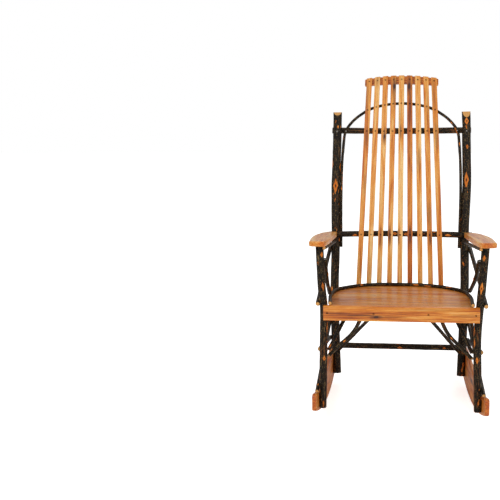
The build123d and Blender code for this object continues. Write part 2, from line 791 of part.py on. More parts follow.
for name, side in SIDES.items():
    front_post = nodes[f"front_post_{name}"]
    rear_post = nodes[f"rear_post_{name}"]
    rocker = nodes[f"rocker_{name}"]
    side_bearer = nodes[f"side_bearer_{name}"]
    middle_bearer = nodes[f"middle_bearer_{name}"]

    # Side stretcher, on the back of the front post's outer side and on the rear post's outer side.
    reach = front_post_radius + side_stretcher_radius - stick_bite
    front_place = front_post_at(name, side_stretcher_front_height)
    offset = Vector(reach, 0, 0).rotate(Axis.Z, stretcher_turn)
    front_point = front_place + Vector(side * offset.X, offset.Y, 0)
    nail_places.append((front_point, front_place, side_stretcher_radius))
    reach = rear_post_radius + side_stretcher_radius - stick_bite
    rear_place = rear_post_at(name, side_stretcher_rear_height)
    rear_point = rear_place + Vector(side * reach, 0, 0)
    nail_places.append((rear_point, rear_place, side_stretcher_radius))
    way = (front_point - rear_point).normalized()
    stretcher_line = rounded_route(
        [rear_point - way * rear_post_radius, front_point + way * side_stretcher_overrun]
    )
    side_stretcher = housed(stick(stretcher_line, side_stretcher_diameter), front_post, rear_post)
    nodes[f"side_stretcher_{name}"] = side_stretcher

    # Low brace, from the rocker's front end up to the rear post, outside the side stretcher.
    reach = front_post_radius + low_brace_radius - stick_bite
    front_place = front_post_at(name, low_brace_front_height)
    front_point = front_place + Vector(side * reach, 0, 0)
    nail_places.append((front_point, front_place, low_brace_radius))
    reach = rear_post_radius + low_brace_radius - stick_bite
    rear_place = rear_post_at(name, low_brace_rear_height)
    rear_point = rear_place + Vector(side * reach, 0, 0)
    nail_places.append((rear_point, rear_place, low_brace_radius))
    way = (front_point - rear_point).normalized()
    low_line = rounded_route(
        [rear_point - way * rear_post_radius, front_point + way * low_brace_front_overrun]
    )
    low_brace = stick(low_line, low_brace_diameter)
    nodes[f"low_brace_{name}"] = housed(low_brace, front_post, rear_post, side_stretcher, rocker)

    # Side prop, an upright from the side stretcher to the outer face of the side bearer.
    stretcher_place = place_on(stretcher_line, "Y", side_prop_depth)[0]
    bearer_span = side_bearer_span(name, side_prop_depth)
    prop_span = bearer_span + bearer_thickness / 2 + side_prop_radius - board_bite
    prop_top = (side * prop_span, side_prop_depth, seat_top(side_prop_depth) - seat_slat_thickness)
    nail_height = (prop_top[2] + bearer_foot) / 2
    nail_places.append(
        (
            Vector(side * prop_span, side_prop_depth, nail_height),
            Vector(side * bearer_span, side_prop_depth, nail_height),
            side_prop_radius,
        )
    )
    prop_foot = (stretcher_place.X, side_prop_depth, stretcher_place.Z)
    side_prop = stick(rounded_route([prop_foot, prop_top]), side_prop_diameter)
    nodes[f"side_prop_{name}"] = housed(side_prop, side_stretcher, side_bearer, low_brace, *seat_slats)

    # Side brace, from the back of the front post's inner side up to the underside of the front seat slat.
    inward = front_post_radius + side_brace_radius - stick_bite
    foot_place = front_post_at(name, side_brace_foot_height)
    foot_point = foot_place + Vector(-side * inward, side_brace_foot_setback, 0)
    top_height = seat_top(side_brace_top_depth) - seat_slat_thickness
    top_point = Vector(side * side_brace_top_half_span, side_brace_top_depth, top_height)
    top_point += (top_point - foot_point).normalized() * side_brace_radius
    side_brace = stick(rounded_route([top_point, foot_point]), side_brace_diameter)
    nodes[f"side_brace_{name}"] = housed(side_brace, side_bearer, front_post, *seat_slats)
    nail_places.append((foot_point, foot_place, side_brace_radius))

    # Bent front brace, from the front post's inner side up behind the apron.
    foot_place = front_post_at(name, front_brace_foot_height)
    inward = front_post_radius + under_brace_radius - stick_bite
    foot_point = foot_place + Vector(-side * inward, front_post_radius, 0)
    top_point = Vector(
        side * front_brace_top_half_span,
        apron_back_depth + under_brace_radius - board_bite,
        front_brace_top_height,
    )
    span = top_point - foot_point
    knees = []
    for share, outward, upward in front_brace_bends:
        knees.append(foot_point + span * share + Vector(side * outward, 0, upward))
    brace_start = foot_point + (foot_point - knees[0]) * front_brace_foot_overrun
    brace_line = rounded_route([brace_start, *knees, top_point])
    nail_places.append((foot_point, foot_place, under_brace_radius))
    front_brace = stick(brace_line, under_brace_diameter)
    # Its foot is sawn at a slant that faces forward.
    foot_way = brace_line % 0
    lean = math.radians(front_brace_cut_angle)
    facing = -foot_way * math.cos(lean) - Vector(0, math.sin(lean), 0)
    waste_size = 3 * under_brace_diameter
    saw_face = Plane(origin=foot_point, z_dir=facing) * Rectangle(waste_size, waste_size)
    foot_waste = extrude(saw_face, amount=waste_size).solid()
    nodes[f"front_brace_{name}"] = housed(
        front_brace, front_post, nodes["front_apron"], *seat_slats, foot_waste
    )

    # Straight rear brace, from the rear post's inner front up to the underside of the middle bearer.
    foot_place = rear_post_at(name, rear_brace_foot_height)
    reach = rear_post_radius + under_brace_radius - stick_bite
    offset = Vector(reach, 0, 0).rotate(Axis.Z, rear_brace_turn)
    foot_point = foot_place + Vector(-side * offset.X, offset.Y, 0)
    nail_places.append((foot_point, foot_place, under_brace_radius))
    top_point = Vector(side * bearer_half_span, rear_brace_top_depth, bearer_foot)
    way = (foot_point - top_point).normalized()
    rear_line = rounded_route([top_point - way * under_brace_radius, foot_point + way * under_brace_diameter])
    rear_brace = stick(rear_line, under_brace_diameter)
    nodes[f"rear_brace_{name}"] = housed(rear_brace, rear_post, middle_bearer)
    nodes[f"rear_post_{name}"] = housed(rear_post, nodes["rear_stretcher"])

# ---- Fasteners ----

back = Vector(0, 1, 0)

# One screw through each slat into the crest, the hoop, the upper stick and the mid stick.
slat_screws = []
for index in range(slat_count):
    share = index / slat_middle - 1
    crest_screw_height = slat_top_height - crest_height / 2 - crest_top_rise * share**2 / 2
    hoop_x = slat_x(index, back_hoop_top_height)
    hoop_height = place_on(back_hoop_route, "X", hoop_x)[0].Z
    for height, backing in (
        (crest_screw_height, crest_thickness),
        (hoop_height, back_hoop_diameter),
        ((upper_route @ 0.5).Z, upper_stick_diameter),
        (mid_stick_height, cross_stick_diameter),
    ):
        place, way = place_on(slat_route, "Z", height)
        inward = Vector(0, way.Z, -way.Y)
        place = Vector(slat_x(index, height), place.Y, place.Z)
        start = place - inward * (slat_thickness / 2)
        slat_screws.append(wood_screw(start, inward, slat_thickness + backing * screw_reach))
slat_names = [f"back_slat_{index + 1}" for index in range(slat_count)]
fasten("slat_screws", slat_screws, *slat_names, "crest_rail", "back_hoop", "upper_cross_stick", "mid_cross_stick")

# Four screws through the apron into the front posts and the middle bearers.
apron_screws = []
for name, side in SIDES.items():
    for half_span in apron_screw_half_spans:
        start = Vector(side * half_span, apron_back_depth - apron_thickness, seat_front_height - apron_screw_drop)
        apron_screws.append(wood_screw(start, back, apron_thickness * 2))
bearer_names = [f"{kind}_bearer_{name}" for kind in ("side", "middle") for name in SIDES]
fasten("apron_screws", apron_screws, "front_apron", "front_post_left", "front_post_right", *bearer_names)

# Screws from above through each seat slat into the bearers.
seat_screws = []
for index in range(seat_slat_count):
    front_under, back_under = seat_under[2 * index], seat_under[2 * index + 1]
    run = (back_under - front_under).normalized()
    down = Vector(0, run.Z, -run.Y)
    top_middle = (front_under + back_under) / 2 + Vector(0, 0, seat_slat_thickness)
    for name, side in SIDES.items():
        spans = [bearer_half_span]
        if index < seat_slat_count - 2:
            spans.append(side_bearer_span(name, top_middle.Y))
        for half_span in spans:
            start = Vector(side * half_span, top_middle.Y, top_middle.Z)
            seat_screws.append(wood_screw(start, down, seat_slat_thickness * 2))
seat_names = [f"seat_slat_{index + 1}" for index in range(seat_slat_count)]
fasten("seat_screws", seat_screws, *seat_names, *bearer_names)

# Two bolts through each rocker into each post.
rocker_bolts = []
for name, side in SIDES.items():
    inward = Vector(-side * math.cos(rocker_turn), math.sin(rocker_turn), 0)
    for route, foot_height, radius in (
        (front_routes[name], front_foot_height, front_post_radius),
        (rear_routes[name], rear_foot_height, rear_post_radius),
    ):
        for rise in rocker_bolt_rises:
            centre = place_on(route, "Z", foot_height + rise)[0]
            outer_x = front_rocker_x + (centre.Y - front_foot_depth) * math.tan(rocker_turn)
            outer_x += rocker_thickness / math.cos(rocker_turn)
            start = Vector(side * outer_x, centre.Y, centre.Z)
            bolt_length = rocker_thickness + radius
            rocker_bolts.append(
                fastener(start, inward, bolt_length, bolt_shank_diameter, bolt_head_diameter, bolt_head_height)
            )
post_names = [f"{end}_post_{name}" for end in ("front", "rear") for name in SIDES]
fasten("rocker_bolts", rocker_bolts, "rocker_left", "rocker_right", *post_names)

# Screws from above through the fronts of the arms into the front posts.
arm_screws = []
for name, side in SIDES.items():
    top_x = (front_routes[name] @ 1).X
    for offset in (-arm_screw_offset, arm_screw_offset):
        depth = front_top_depth + offset
        start = Vector(top_x + offset, depth, arm_top(depth))
        arm_screws.append(wood_screw(start, -arm_plane.z_dir, arm_thickness * 2.4))
fasten("arm_screws", arm_screws, "arm_left", "arm_right", "front_post_left", "front_post_right")

# Nails through the sticks. The upper stick is nailed from the front, through the posts.
for name, side in SIDES.items():
    post_place = rear_post_at(name, upper_stick_height)
    stick_place = place_on(upper_route, "X", post_place.X)[0]
    post_place = Vector(post_place.X, post_place.Y, stick_place.Z)
    nail_places.append((post_place, stick_place, rear_post_radius / math.cos(math.radians(rear_post_lean))))
    hoop_place = place_on(hoop_leg_routes[name], "Z", upper_stick_height)[0]
    stick_place = place_on(upper_route, "X", hoop_place.X)[0]
    nail_places.append((hoop_place, Vector(hoop_place.X, stick_place.Y, hoop_place.Z), hoop_radius))
    for route, radius in ((mid_route, cross_radius), (rail_route, cross_radius)):
        post_place = rear_post_at(name, (route @ 0.5).Z)
        stick_place = place_on(route, "X", post_place.X)[0]
        nail_places.append((stick_place, Vector(stick_place.X, post_place.Y, stick_place.Z), radius))
    arm_nail_x = side * (arm_inner_half_span + arm_rear_width / 2)
    stick_place = place_on(mid_route, "X", arm_nail_x)[0]
    nail_places.append((stick_place, stick_place - back * arm_thickness, cross_radius))

frame_nails = []
for place, target, radius in nail_places:
    way = (target - place).normalized()
    frame_nails.append(nail(place - way * (radius + nail_head_proud), way, 2 * radius + nail_bite))
names = [name for name in nodes if not isinstance(nodes[name], list) and "slat" not in name]
fasten("frame_nails", frame_nails, *names)

# ---- Files ----

# The origin moves under the middle of the chair's length.
shapes = {}
for name, piece in nodes.items():
    shapes[name] = Compound(children=piece) if isinstance(piece, list) else piece
boxes = [shape.bounding_box() for shape in shapes.values()]
middle_depth = (min(box.min.Y for box in boxes) + max(box.max.Y for box in boxes)) / 2
for name, shape in shapes.items():
    export_step(Pos(0, -middle_depth, 0) * shape, f"parts/{name}.step")
print(len(shapes), "nodes, middle depth", round(middle_depth, 2))
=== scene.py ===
import bpy
import bmesh
import math
import numpy as np
from mathutils import Matrix, Vector, noise


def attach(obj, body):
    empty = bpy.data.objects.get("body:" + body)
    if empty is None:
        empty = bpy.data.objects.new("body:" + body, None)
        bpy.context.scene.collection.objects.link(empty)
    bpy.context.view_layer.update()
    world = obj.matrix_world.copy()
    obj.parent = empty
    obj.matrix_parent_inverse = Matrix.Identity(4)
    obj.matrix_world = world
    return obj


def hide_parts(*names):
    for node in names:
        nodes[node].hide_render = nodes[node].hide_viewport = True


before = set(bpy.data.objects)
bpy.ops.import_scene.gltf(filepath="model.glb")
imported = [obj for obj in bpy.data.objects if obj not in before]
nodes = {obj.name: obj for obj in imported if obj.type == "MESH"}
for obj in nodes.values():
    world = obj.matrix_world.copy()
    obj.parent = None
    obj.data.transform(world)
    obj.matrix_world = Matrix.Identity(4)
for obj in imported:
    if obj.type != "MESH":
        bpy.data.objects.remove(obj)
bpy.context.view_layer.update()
print("stage: frame loaded,", len(nodes), "nodes")


# Small helpers shared by every material and piece.
def toLinear(hexColour):
    values = []
    for start in (1, 3, 5):
        level = int(hexColour[start:start + 2], 16) / 255
        values.append(level / 12.92 if level <= 0.04045 else ((level + 0.055) / 1.055) ** 2.4)
    return (*values, 1.0)


def addNode(tree, kind, settings=None, links=None):
    node = tree.nodes.new("ShaderNode" + kind)
    for key, value in (settings or {}).items():
        if key == "stops":
            ramp = node.color_ramp
            ramp.elements.remove(ramp.elements[1])
            for index, (place, colour) in enumerate(value):
                stop = ramp.elements[0] if index == 0 else ramp.elements.new(place)
                stop.position = place
                stop.color = toLinear(colour) if isinstance(colour, str) else (colour, colour, colour, 1)
        elif isinstance(key, int) or key in node.inputs:
            node.inputs[key].default_value = value
        else:
            setattr(node, key, value)
    for key, source in (links or {}).items():
        tree.links.new(source, node.inputs[key])
    return node


def newMaterial(name, settings):
    material = bpy.data.materials.new(name)
    material.use_nodes = True
    tree = material.node_tree
    tree.nodes.clear()
    shader = addNode(tree, "BsdfPrincipled", settings)
    addNode(tree, "OutputMaterial", links={"Surface": shader.outputs[0]})
    return material, tree, shader


def addPiece(name, mesh, material, replaced):
    piece = bpy.data.objects.new(name, mesh)
    bpy.context.scene.collection.objects.link(piece)
    mesh.materials.clear()
    mesh.materials.append(material)
    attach(piece, "root")
    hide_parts(replaced)
    return piece


# Camera and light.
cameraSettings = {
    "place": (-0.0435, -3.802, 1.289),
    "turn": 7.653,    # degrees to the left of straight ahead
    "tilt": 10.94,    # degrees down
    "roll": -0.84,
    "lens": 75.6,     # mm
    "sensor": 36,     # mm
}
turn, tilt, roll = (math.radians(cameraSettings[key]) for key in ("turn", "tilt", "roll"))
forward = Vector((-math.sin(turn) * math.cos(tilt), math.cos(turn) * math.cos(tilt), -math.sin(tilt)))
level = Vector((math.cos(turn), math.sin(turn), 0))
upright = level.cross(forward)
rightWay = level * math.cos(roll) + upright * math.sin(roll)
upWay = upright * math.cos(roll) - level * math.sin(roll)
cameraData = bpy.data.cameras.new("camera")
cameraData.lens = cameraSettings["lens"]
cameraData.sensor_width = cameraSettings["sensor"]
camera = bpy.data.objects.new("camera", cameraData)
camera.matrix_world = Matrix.Translation(cameraSettings["place"]) @ Matrix(
    (rightWay, upWay, -forward)).transposed().to_4x4()
bpy.context.scene.collection.objects.link(camera)
bpy.context.scene.camera = camera

lightSettings = {
    "skyLevel": 0.5,      # how bright the sky is as a light; it is seen as plain white
    "paperLift": 0.68,    # what the paper gives off to the eye alone
    "lamps": [
        # name, place, side in metres, watts
        ("keySoftbox", (-1.9, -2.9, 2.9), 1.8, 62),
        ("fillSoftbox", (2.6, -2.2, 1.9), 2.0, 34),
        ("rearSoftbox", (0.6, 2.6, 2.8), 1.6, 24),
    ],
    "aim": (0, 0, 0.55),
}
for name, place, side, watts in lightSettings["lamps"]:
    lampData = bpy.data.lights.new(name, "AREA")
    lampData.shape = "SQUARE"
    lampData.size = side
    lampData.energy = watts
    lamp = bpy.data.objects.new(name, lampData)
    lamp.location = place
    aimWay = Vector(lightSettings["aim"]) - Vector(place)
    lamp.rotation_euler = aimWay.to_track_quat("-Z", "Y").to_euler()
    bpy.context.scene.collection.objects.link(lamp)

world = bpy.data.worlds.new("studio")
bpy.context.scene.world = world
world.use_nodes = True
sky = world.node_tree
sky.nodes.clear()
rays = addNode(sky, "LightPath")
skyLevel = addNode(sky, "MapRange", {3: lightSettings["skyLevel"], 4: 1.0},
                   {0: rays.outputs["Is Camera Ray"]})
backdrop = addNode(sky, "Background", {"Color": (1, 1, 1, 1)}, {"Strength": skyLevel.outputs[0]})
addNode(sky, "OutputWorld", links={"Surface": backdrop.outputs[0]})
bpy.context.scene.view_settings.view_transform = "Standard"

# Matt white studio paper.
paper, tree, shader = newMaterial("studioPaper", {
    "Base Color": toLinear("#FAFAF9"), "Roughness": 0.9, "Emission Color": (1, 1, 1, 1)})
paperRays = addNode(tree, "LightPath")
lift = addNode(tree, "MapRange", {3: 0.0, 4: lightSettings["paperLift"]},
               {0: paperRays.outputs["Is Camera Ray"]})
tree.links.new(lift.outputs[0], shader.inputs["Emission Strength"])
floorMesh = bpy.data.meshes.new("floor")
floorMesh.from_pydata([(-9, -9, 0), (9, -9, 0), (9, 9, 0), (-9, 9, 0)], [], [(0, 1, 2, 3)])
floorMesh.materials.append(paper)
floor = bpy.data.objects.new("floor", floorMesh)
bpy.context.scene.collection.objects.link(floor)
print("stage: camera and light")


# Hickory sapling bark under clear lacquer: nearly black, ridged along the stick, worn to brown on the
# ridges and peeled to orange inner wood round the knots. Sawn ends are pale with rings and a dark rim.
barkFinish = {
    "ridgeSpacing": 0.0042,    # metres round the stick; real ridges are 1 to 2 mm, drawn coarser to show
    "ridgeLength": 0.030,
    "blotch": 0.055,
    "ringSpacing": 0.0016,
    "glintSpeckSize": 0.0042,       # painted highlight specks for glints of light on the rough bark; real specks are 1 to 3 mm, drawn coarser to show
    "fleck": (0.010, 0.034),
    "fibreScale": (700, 700, 30),
    "dark": "#080502",
    "bark": "#150D05",
    "ridge": "#39260F",
    # Grey olive: dust on the ridge tops, and also the painted highlight specks that stand for glints of light.
    "dustAndGlint": "#8F7A50",
    "worn": "#6E370A",
    "innerDark": "#853A08",
    "inner": "#C96A18",
    "innerLight": "#E38E3C",
    "knot": "#2E160A",
    "sawnLight": "#DDA966",
    "sawnDark": "#B87634",
}


def makeBark():
    finish = barkFinish
    material, tree, shader = newMaterial("hickoryBark", {
        "IOR": 1.45, "Specular IOR Level": 0.2, "Coat Weight": 0.02, "Coat Roughness": 0.25})
    stick = addNode(tree, "Attribute", {"attribute_name": "stick"}).outputs["Vector"]
    peel = addNode(tree, "Attribute", {"attribute_name": "peel"}).outputs["Fac"]
    knot = addNode(tree, "Attribute", {"attribute_name": "knot"}).outputs["Fac"]
    sawn = addNode(tree, "Attribute", {"attribute_name": "sawn"}).outputs["Fac"]
    rim = addNode(tree, "Attribute", {"attribute_name": "rim"}).outputs["Fac"]
    across = 1 / finish["ridgeSpacing"]
    along = 1 / finish["ridgeLength"]
    ridgePlace = addNode(tree, "VectorMath", {"operation": "MULTIPLY", 1: (across, across, along)}, {0: stick})
    ridges = addNode(tree, "TexNoise", {"Scale": 1.0, "Detail": 5.0, "Roughness": 0.62, "Distortion": 0.4},
                     {"Vector": ridgePlace.outputs[0]})
    blotches = addNode(tree, "TexNoise", {"Scale": 1 / finish["blotch"], "Detail": 3.0, "Roughness": 0.55},
                       {"Vector": stick})
    cracks = addNode(tree, "TexVoronoi", {"feature": "DISTANCE_TO_EDGE", "Scale": 0.8},
                     {"Vector": ridgePlace.outputs[0]})
    barkColour = addNode(tree, "ValToRGB", {"stops": [
        (0.32, finish["dark"]), (0.49, finish["bark"]), (0.60, finish["ridge"]), (0.70, finish["dustAndGlint"])]},
        {"Fac": ridges.outputs[0]})
    crackShade = addNode(tree, "MapRange", {
        "interpolation_type": "SMOOTHSTEP", 1: 0.0, 2: 0.16, 3: 0.35, 4: 1.0}, {0: cracks.outputs["Distance"]})
    barkColour = addNode(tree, "Mix", {"data_type": "RGBA", "blend_type": "MULTIPLY", 0: 1.0},
                         {6: barkColour.outputs[0], 7: crackShade.outputs[0]})
    # Painted highlight: pale grey olive specks all over the bark stand in for glints of lamp light on its rough
    # lacquer.
    glintNoise = addNode(tree, "TexNoise", {"Scale": 1 / finish["glintSpeckSize"], "Detail": 2.0}, {"Vector": stick})
    paintedGlints = addNode(tree, "MapRange", {
        "interpolation_type": "SMOOTHSTEP", 1: 0.55, 2: 0.70, 3: 0.0, 4: 0.42}, {0: glintNoise.outputs[0]})
    barkColour = addNode(tree, "Mix", {"data_type": "RGBA", 7: toLinear(finish["dustAndGlint"])},
                         {0: paintedGlints.outputs[0], 6: barkColour.outputs[2]})
    # Ridges rubbed down to brown where the broad pattern is high.
    rub = addNode(tree, "Math", {"operation": "MULTIPLY"}, {0: ridges.outputs[0], 1: blotches.outputs[0]})
    rubbed = addNode(tree, "MapRange", {
        "interpolation_type": "SMOOTHSTEP", 1: 0.30, 2: 0.44, 3: 0.0, 4: 0.75}, {0: rub.outputs[0]})
    barkColour = addNode(tree, "Mix", {"data_type": "RGBA", 7: toLinear(finish["worn"])},
                         {0: rubbed.outputs[0], 6: barkColour.outputs[2]})
    # Inner wood where the bark has come off.
    fibrePlace = addNode(tree, "VectorMath", {"operation": "MULTIPLY", 1: finish["fibreScale"]}, {0: stick})
    fibres = addNode(tree, "TexNoise", {"Scale": 1.0, "Detail": 3.0}, {"Vector": fibrePlace.outputs[0]})
    innerMix = addNode(tree, "Math", {"operation": "MULTIPLY_ADD", 1: 0.55},
                       {0: fibres.outputs[0], 2: ridges.outputs[0]})
    inner = addNode(tree, "ValToRGB", {"stops": [
        (0.45, finish["innerDark"]), (0.72, finish["inner"]), (0.95, finish["innerLight"])]},
        {"Fac": innerMix.outputs[0]})
    knotShade = addNode(tree, "MapRange", {"interpolation_type": "SMOOTHSTEP", 1: 0.45, 2: 0.85}, {0: knot})
    inner = addNode(tree, "Mix", {"data_type": "RGBA", 7: toLinear(finish["knot"])},
                    {0: knotShade.outputs[0], 6: inner.outputs[0]})
    edgeNoise = addNode(tree, "Math", {"operation": "MULTIPLY_ADD", 1: 0.55, 2: -0.275}, {0: ridges.outputs[0]})
    peelEdge = addNode(tree, "Math", {"operation": "ADD"}, {0: peel, 1: edgeNoise.outputs[0]})
    peelMask = addNode(tree, "MapRange", {"interpolation_type": "SMOOTHSTEP", 1: 0.44, 2: 0.56},
                       {0: peelEdge.outputs[0]})
    # Scattered flecks where a flake of bark is gone.
    fleckAcross, fleckAlong = (1 / size for size in finish["fleck"])
    fleckPlace = addNode(tree, "VectorMath", {
        "operation": "MULTIPLY", 1: (fleckAcross, fleckAcross, fleckAlong)}, {0: stick})
    flecks = addNode(tree, "TexNoise", {"Scale": 1.0, "Detail": 4.0, "Roughness": 0.6},
                     {"Vector": fleckPlace.outputs[0]})
    fleckMask = addNode(tree, "MapRange", {"interpolation_type": "SMOOTHSTEP", 1: 0.645, 2: 0.70},
                        {0: flecks.outputs[0]})
    peelMask = addNode(tree, "Math", {"operation": "MAXIMUM"},
                       {0: peelMask.outputs[0], 1: fleckMask.outputs[0]})
    skin = addNode(tree, "Mix", {"data_type": "RGBA"},
                   {0: peelMask.outputs[0], 6: barkColour.outputs[2], 7: inner.outputs[2]})
    # Sawn ends.
    wobble = addNode(tree, "TexNoise", {"Scale": 90.0, "Detail": 2.0}, {"Vector": stick})
    flat = addNode(tree, "VectorMath", {"operation": "MULTIPLY", 1: (1, 1, 0)}, {0: stick})
    radius = addNode(tree, "VectorMath", {"operation": "LENGTH"}, {0: flat.outputs[0]})
    ringPlace = addNode(tree, "Math", {"operation": "MULTIPLY_ADD", 1: 0.0022},
                        {0: wobble.outputs[0], 2: radius.outputs["Value"]})
    ringTurns = addNode(tree, "Math", {"operation": "DIVIDE", 1: finish["ringSpacing"]},
                        {0: ringPlace.outputs[0]})
    rings = addNode(tree, "Math", {"operation": "FRACT"}, {0: ringTurns.outputs[0]})
    endWood = addNode(tree, "ValToRGB", {"stops": [
        (0.0, finish["sawnDark"]), (0.35, finish["sawnLight"]), (0.8, finish["sawnLight"]),
        (1.0, finish["sawnDark"])]},
        {"Fac": rings.outputs[0]})
    rimMask = addNode(tree, "MapRange", {"interpolation_type": "SMOOTHSTEP", 1: 0.84, 2: 0.92}, {0: rim})
    endWood = addNode(tree, "Mix", {"data_type": "RGBA", 7: toLinear(finish["bark"])},
                      {0: rimMask.outputs[0], 6: endWood.outputs[0]})
    colour = addNode(tree, "Mix", {"data_type": "RGBA"}, {0: sawn, 6: skin.outputs[2], 7: endWood.outputs[2]})
    tree.links.new(colour.outputs[2], shader.inputs["Base Color"])
    rough = addNode(tree, "MapRange", {1: 0.3, 2: 0.7, 3: 0.60, 4: 0.42}, {0: ridges.outputs[0]})
    tree.links.new(rough.outputs[0], shader.inputs["Roughness"])
    relief = addNode(tree, "Math", {"operation": "MULTIPLY"}, {0: ridges.outputs[0], 1: crackShade.outputs[0]})
    bump = addNode(tree, "Bump", {"Strength": 0.75, "Distance": 0.0012}, {"Height": relief.outputs[0]})
    tree.links.new(bump.outputs[0], shader.inputs["Normal"])
    return material


bark = makeBark()
print("stage: bark")


# Every bark-on stick: a finely meshed copy of its solid, with swellings, ridges and knots.
# A knot is (share of the way along from the lower or left end, degrees round from the front or top,
# half length in mm, half width in mm, rise in mm).
stickPieces = {
    "cell": 0.0021,
    "thinCell": 0.0016,
    "swelling": 0.0005,
    "swellingScale": (60, 16),      # waves to a metre, round the stick and along it
    "ridging": 0.00028,
    "ridgingScale": (1 / 0.0045, 45),
    "barkThickness": 0.0004,
    "sawnRim": (0.935, 0.05),       # share of the radius inside which a face is a sawn end, and its fade
    "knots": {
        "rear_post_left": [
            (0.727, 0, 30, 9, 1.6), (0.81, -70, 20, 7, 0.8), (0.80, 75, 22, 7, 0.6), (0.33, -40, 10, 5, 1.0),
            (0.955, 10, 6, 4, 0.6), (0.52, 60, 9, 4, 0.5), (0.14, 160, 22, 8, 1.4), (0.62, 180, 26, 8, 1.5)],
        "rear_post_right": [
            (0.752, -10, 30, 9, 1.6), (0.878, 5, 10, 5, 1.0), (0.05, 20, 9, 5, 1.0), (0.975, 0, 14, 9, 0.8),
            (0.60, -75, 10, 4, 0.5), (0.42, 170, 24, 8, 1.4), (0.22, 60, 9, 4, 0.6)],
        "front_post_left": [
            (0.775, 22, 17, 5, 1.5), (0.33, 16, 11, 5, 1.3), (0.965, 34, 11, 5, 0.3), (0.52, 62, 26, 3, 0.3),
            (0.66, 80, 12, 6, 0.6), (0.12, -60, 10, 5, 0.7), (0.45, 180, 22, 8, 1.2)],
        "front_post_right": [
            (0.775, -12, 21, 6, 1.6), (0.34, -10, 13, 5, 1.3), (0.445, -48, 18, 3, 0.4),
            (0.955, -14, 12, 5, 0.3), (0.52, -66, 22, 3, 0.3), (0.66, -85, 12, 6, 0.6), (0.10, 60, 9, 5, 0.7)],
        "upper_cross_stick": [(0.62, 25, 8, 4, 0.5), (0.34, 170, 12, 6, 0.8)],
        "mid_cross_stick": [
            (0.455, -10, 9, 6, 1.2), (0.535, 0, 10, 6, 1.2), (0.17, 20, 13, 5, 0.5), (0.83, 10, 14, 5, 0.5),
            (0.70, 30, 7, 4, 0.5)],
        "rear_stretcher": [(0.49, 10, 11, 5, 1.0), (0.84, 0, 8, 4, 0.6)],
        "seat_hoop": [(0.545, 80, 12, 4, 0.6), (0.38, 60, 8, 4, 0.5)],
        "arm_prop_right": [(0.62, 90, 14, 6, 1.8)],
        "arm_prop_left": [(0.70, -90, 14, 6, 1.2)],
        "arm_brace_left": [(0.4, 90, 10, 5, 1.0), (0.75, -90, 12, 5, 0.8)],
        "arm_brace_right": [(0.55, 90, 10, 5, 1.0)],
        "side_stretcher_left": [(0.45, -80, 12, 5, 1.0)],
        "side_stretcher_right": [(0.6, 80, 12, 5, 1.0)],
        "front_brace_left": [(0.4, 0, 7, 3, 0.5)],
        "front_brace_right": [(0.55, 0, 7, 3, 0.5)],
        "back_hoop": [(0.16, 20, 9, 3, 0.5), (0.72, -10, 8, 3, 0.4), (0.5, 180, 10, 4, 0.6)],
    },
}
stickNames = [
    "back_hoop", "mid_cross_stick", "rear_seat_rail", "rear_stretcher", "seat_hoop", "upper_cross_stick"]
for kind in ("arm_brace", "arm_prop", "arm_rail", "front_brace", "front_post", "low_brace", "rear_brace",
             "rear_post", "side_brace", "side_prop", "side_stretcher"):
    stickNames += [kind + "_left", kind + "_right"]


# The centre of the round section through some points, even where a flat has been cut on it.
def sectionCentre(points, centre, way, radius):
    for _ in range(6):
        offset = points - centre
        offset -= np.outer(offset @ way, way)
        gap = np.linalg.norm(offset, axis=1)
        outward = offset / np.maximum(gap, 1e-9)[:, None]
        weight = 1 / (1 + ((gap - radius) / (0.06 * radius)) ** 2)
        pull = (outward * (weight * (gap - radius))[:, None]).sum(axis=0)
        steady = np.outer(way, way) + np.eye(3) * 1e-3
        spread = (outward.T * weight) @ outward + steady * weight.sum()
        centre = centre + np.linalg.solve(spread, pull)
    return centre


# The centre line of a stick, found by walking along its surface points from one end.
def traceLine(points, radius):
    middle = points.mean(axis=0)
    first = points[np.argmax(np.linalg.norm(points - middle, axis=1))]
    distances = np.linalg.norm(points - first, axis=1)
    place = points[distances < 2.2 * radius].mean(axis=0)
    way = points[distances < 8 * radius].mean(axis=0) - place
    way /= np.linalg.norm(way)
    line = [place]
    while len(line) < 900:
        guess = line[-1] + way * radius
        offset = points - guess
        ahead = offset @ way
        aside = np.linalg.norm(offset - np.outer(ahead, way), axis=1)
        slab = points[(np.abs(ahead) < 0.7 * radius) & (aside < 1.8 * radius)]
        if len(slab) < 10:
            break
        centre = slab.mean(axis=0)
        centre -= way * ((centre - guess) @ way)
        fitted = sectionCentre(slab, centre, way, radius)
        if np.linalg.norm(fitted - guess) < 0.35 * radius:
            centre = fitted
        step = centre - line[-1]
        way = way + step / np.linalg.norm(step)
        way /= np.linalg.norm(way)
        line.append(centre)
    line = np.array(line)[2:-2]
    for _ in range(6):
        line[1:-1] = (line[:-2] + 2 * line[1:-1] + line[2:]) / 4
    startWay = line[0] - line[3]
    endWay = line[-1] - line[-4]
    start = line[0] + startWay / np.linalg.norm(startWay) * 5 * radius
    end = line[-1] + endWay / np.linalg.norm(endWay) * 5 * radius
    line = np.vstack([start, line, end])
    if line[0][0] + line[0][2] > line[-1][0] + line[-1][2]:
        line = line[::-1]
    return line


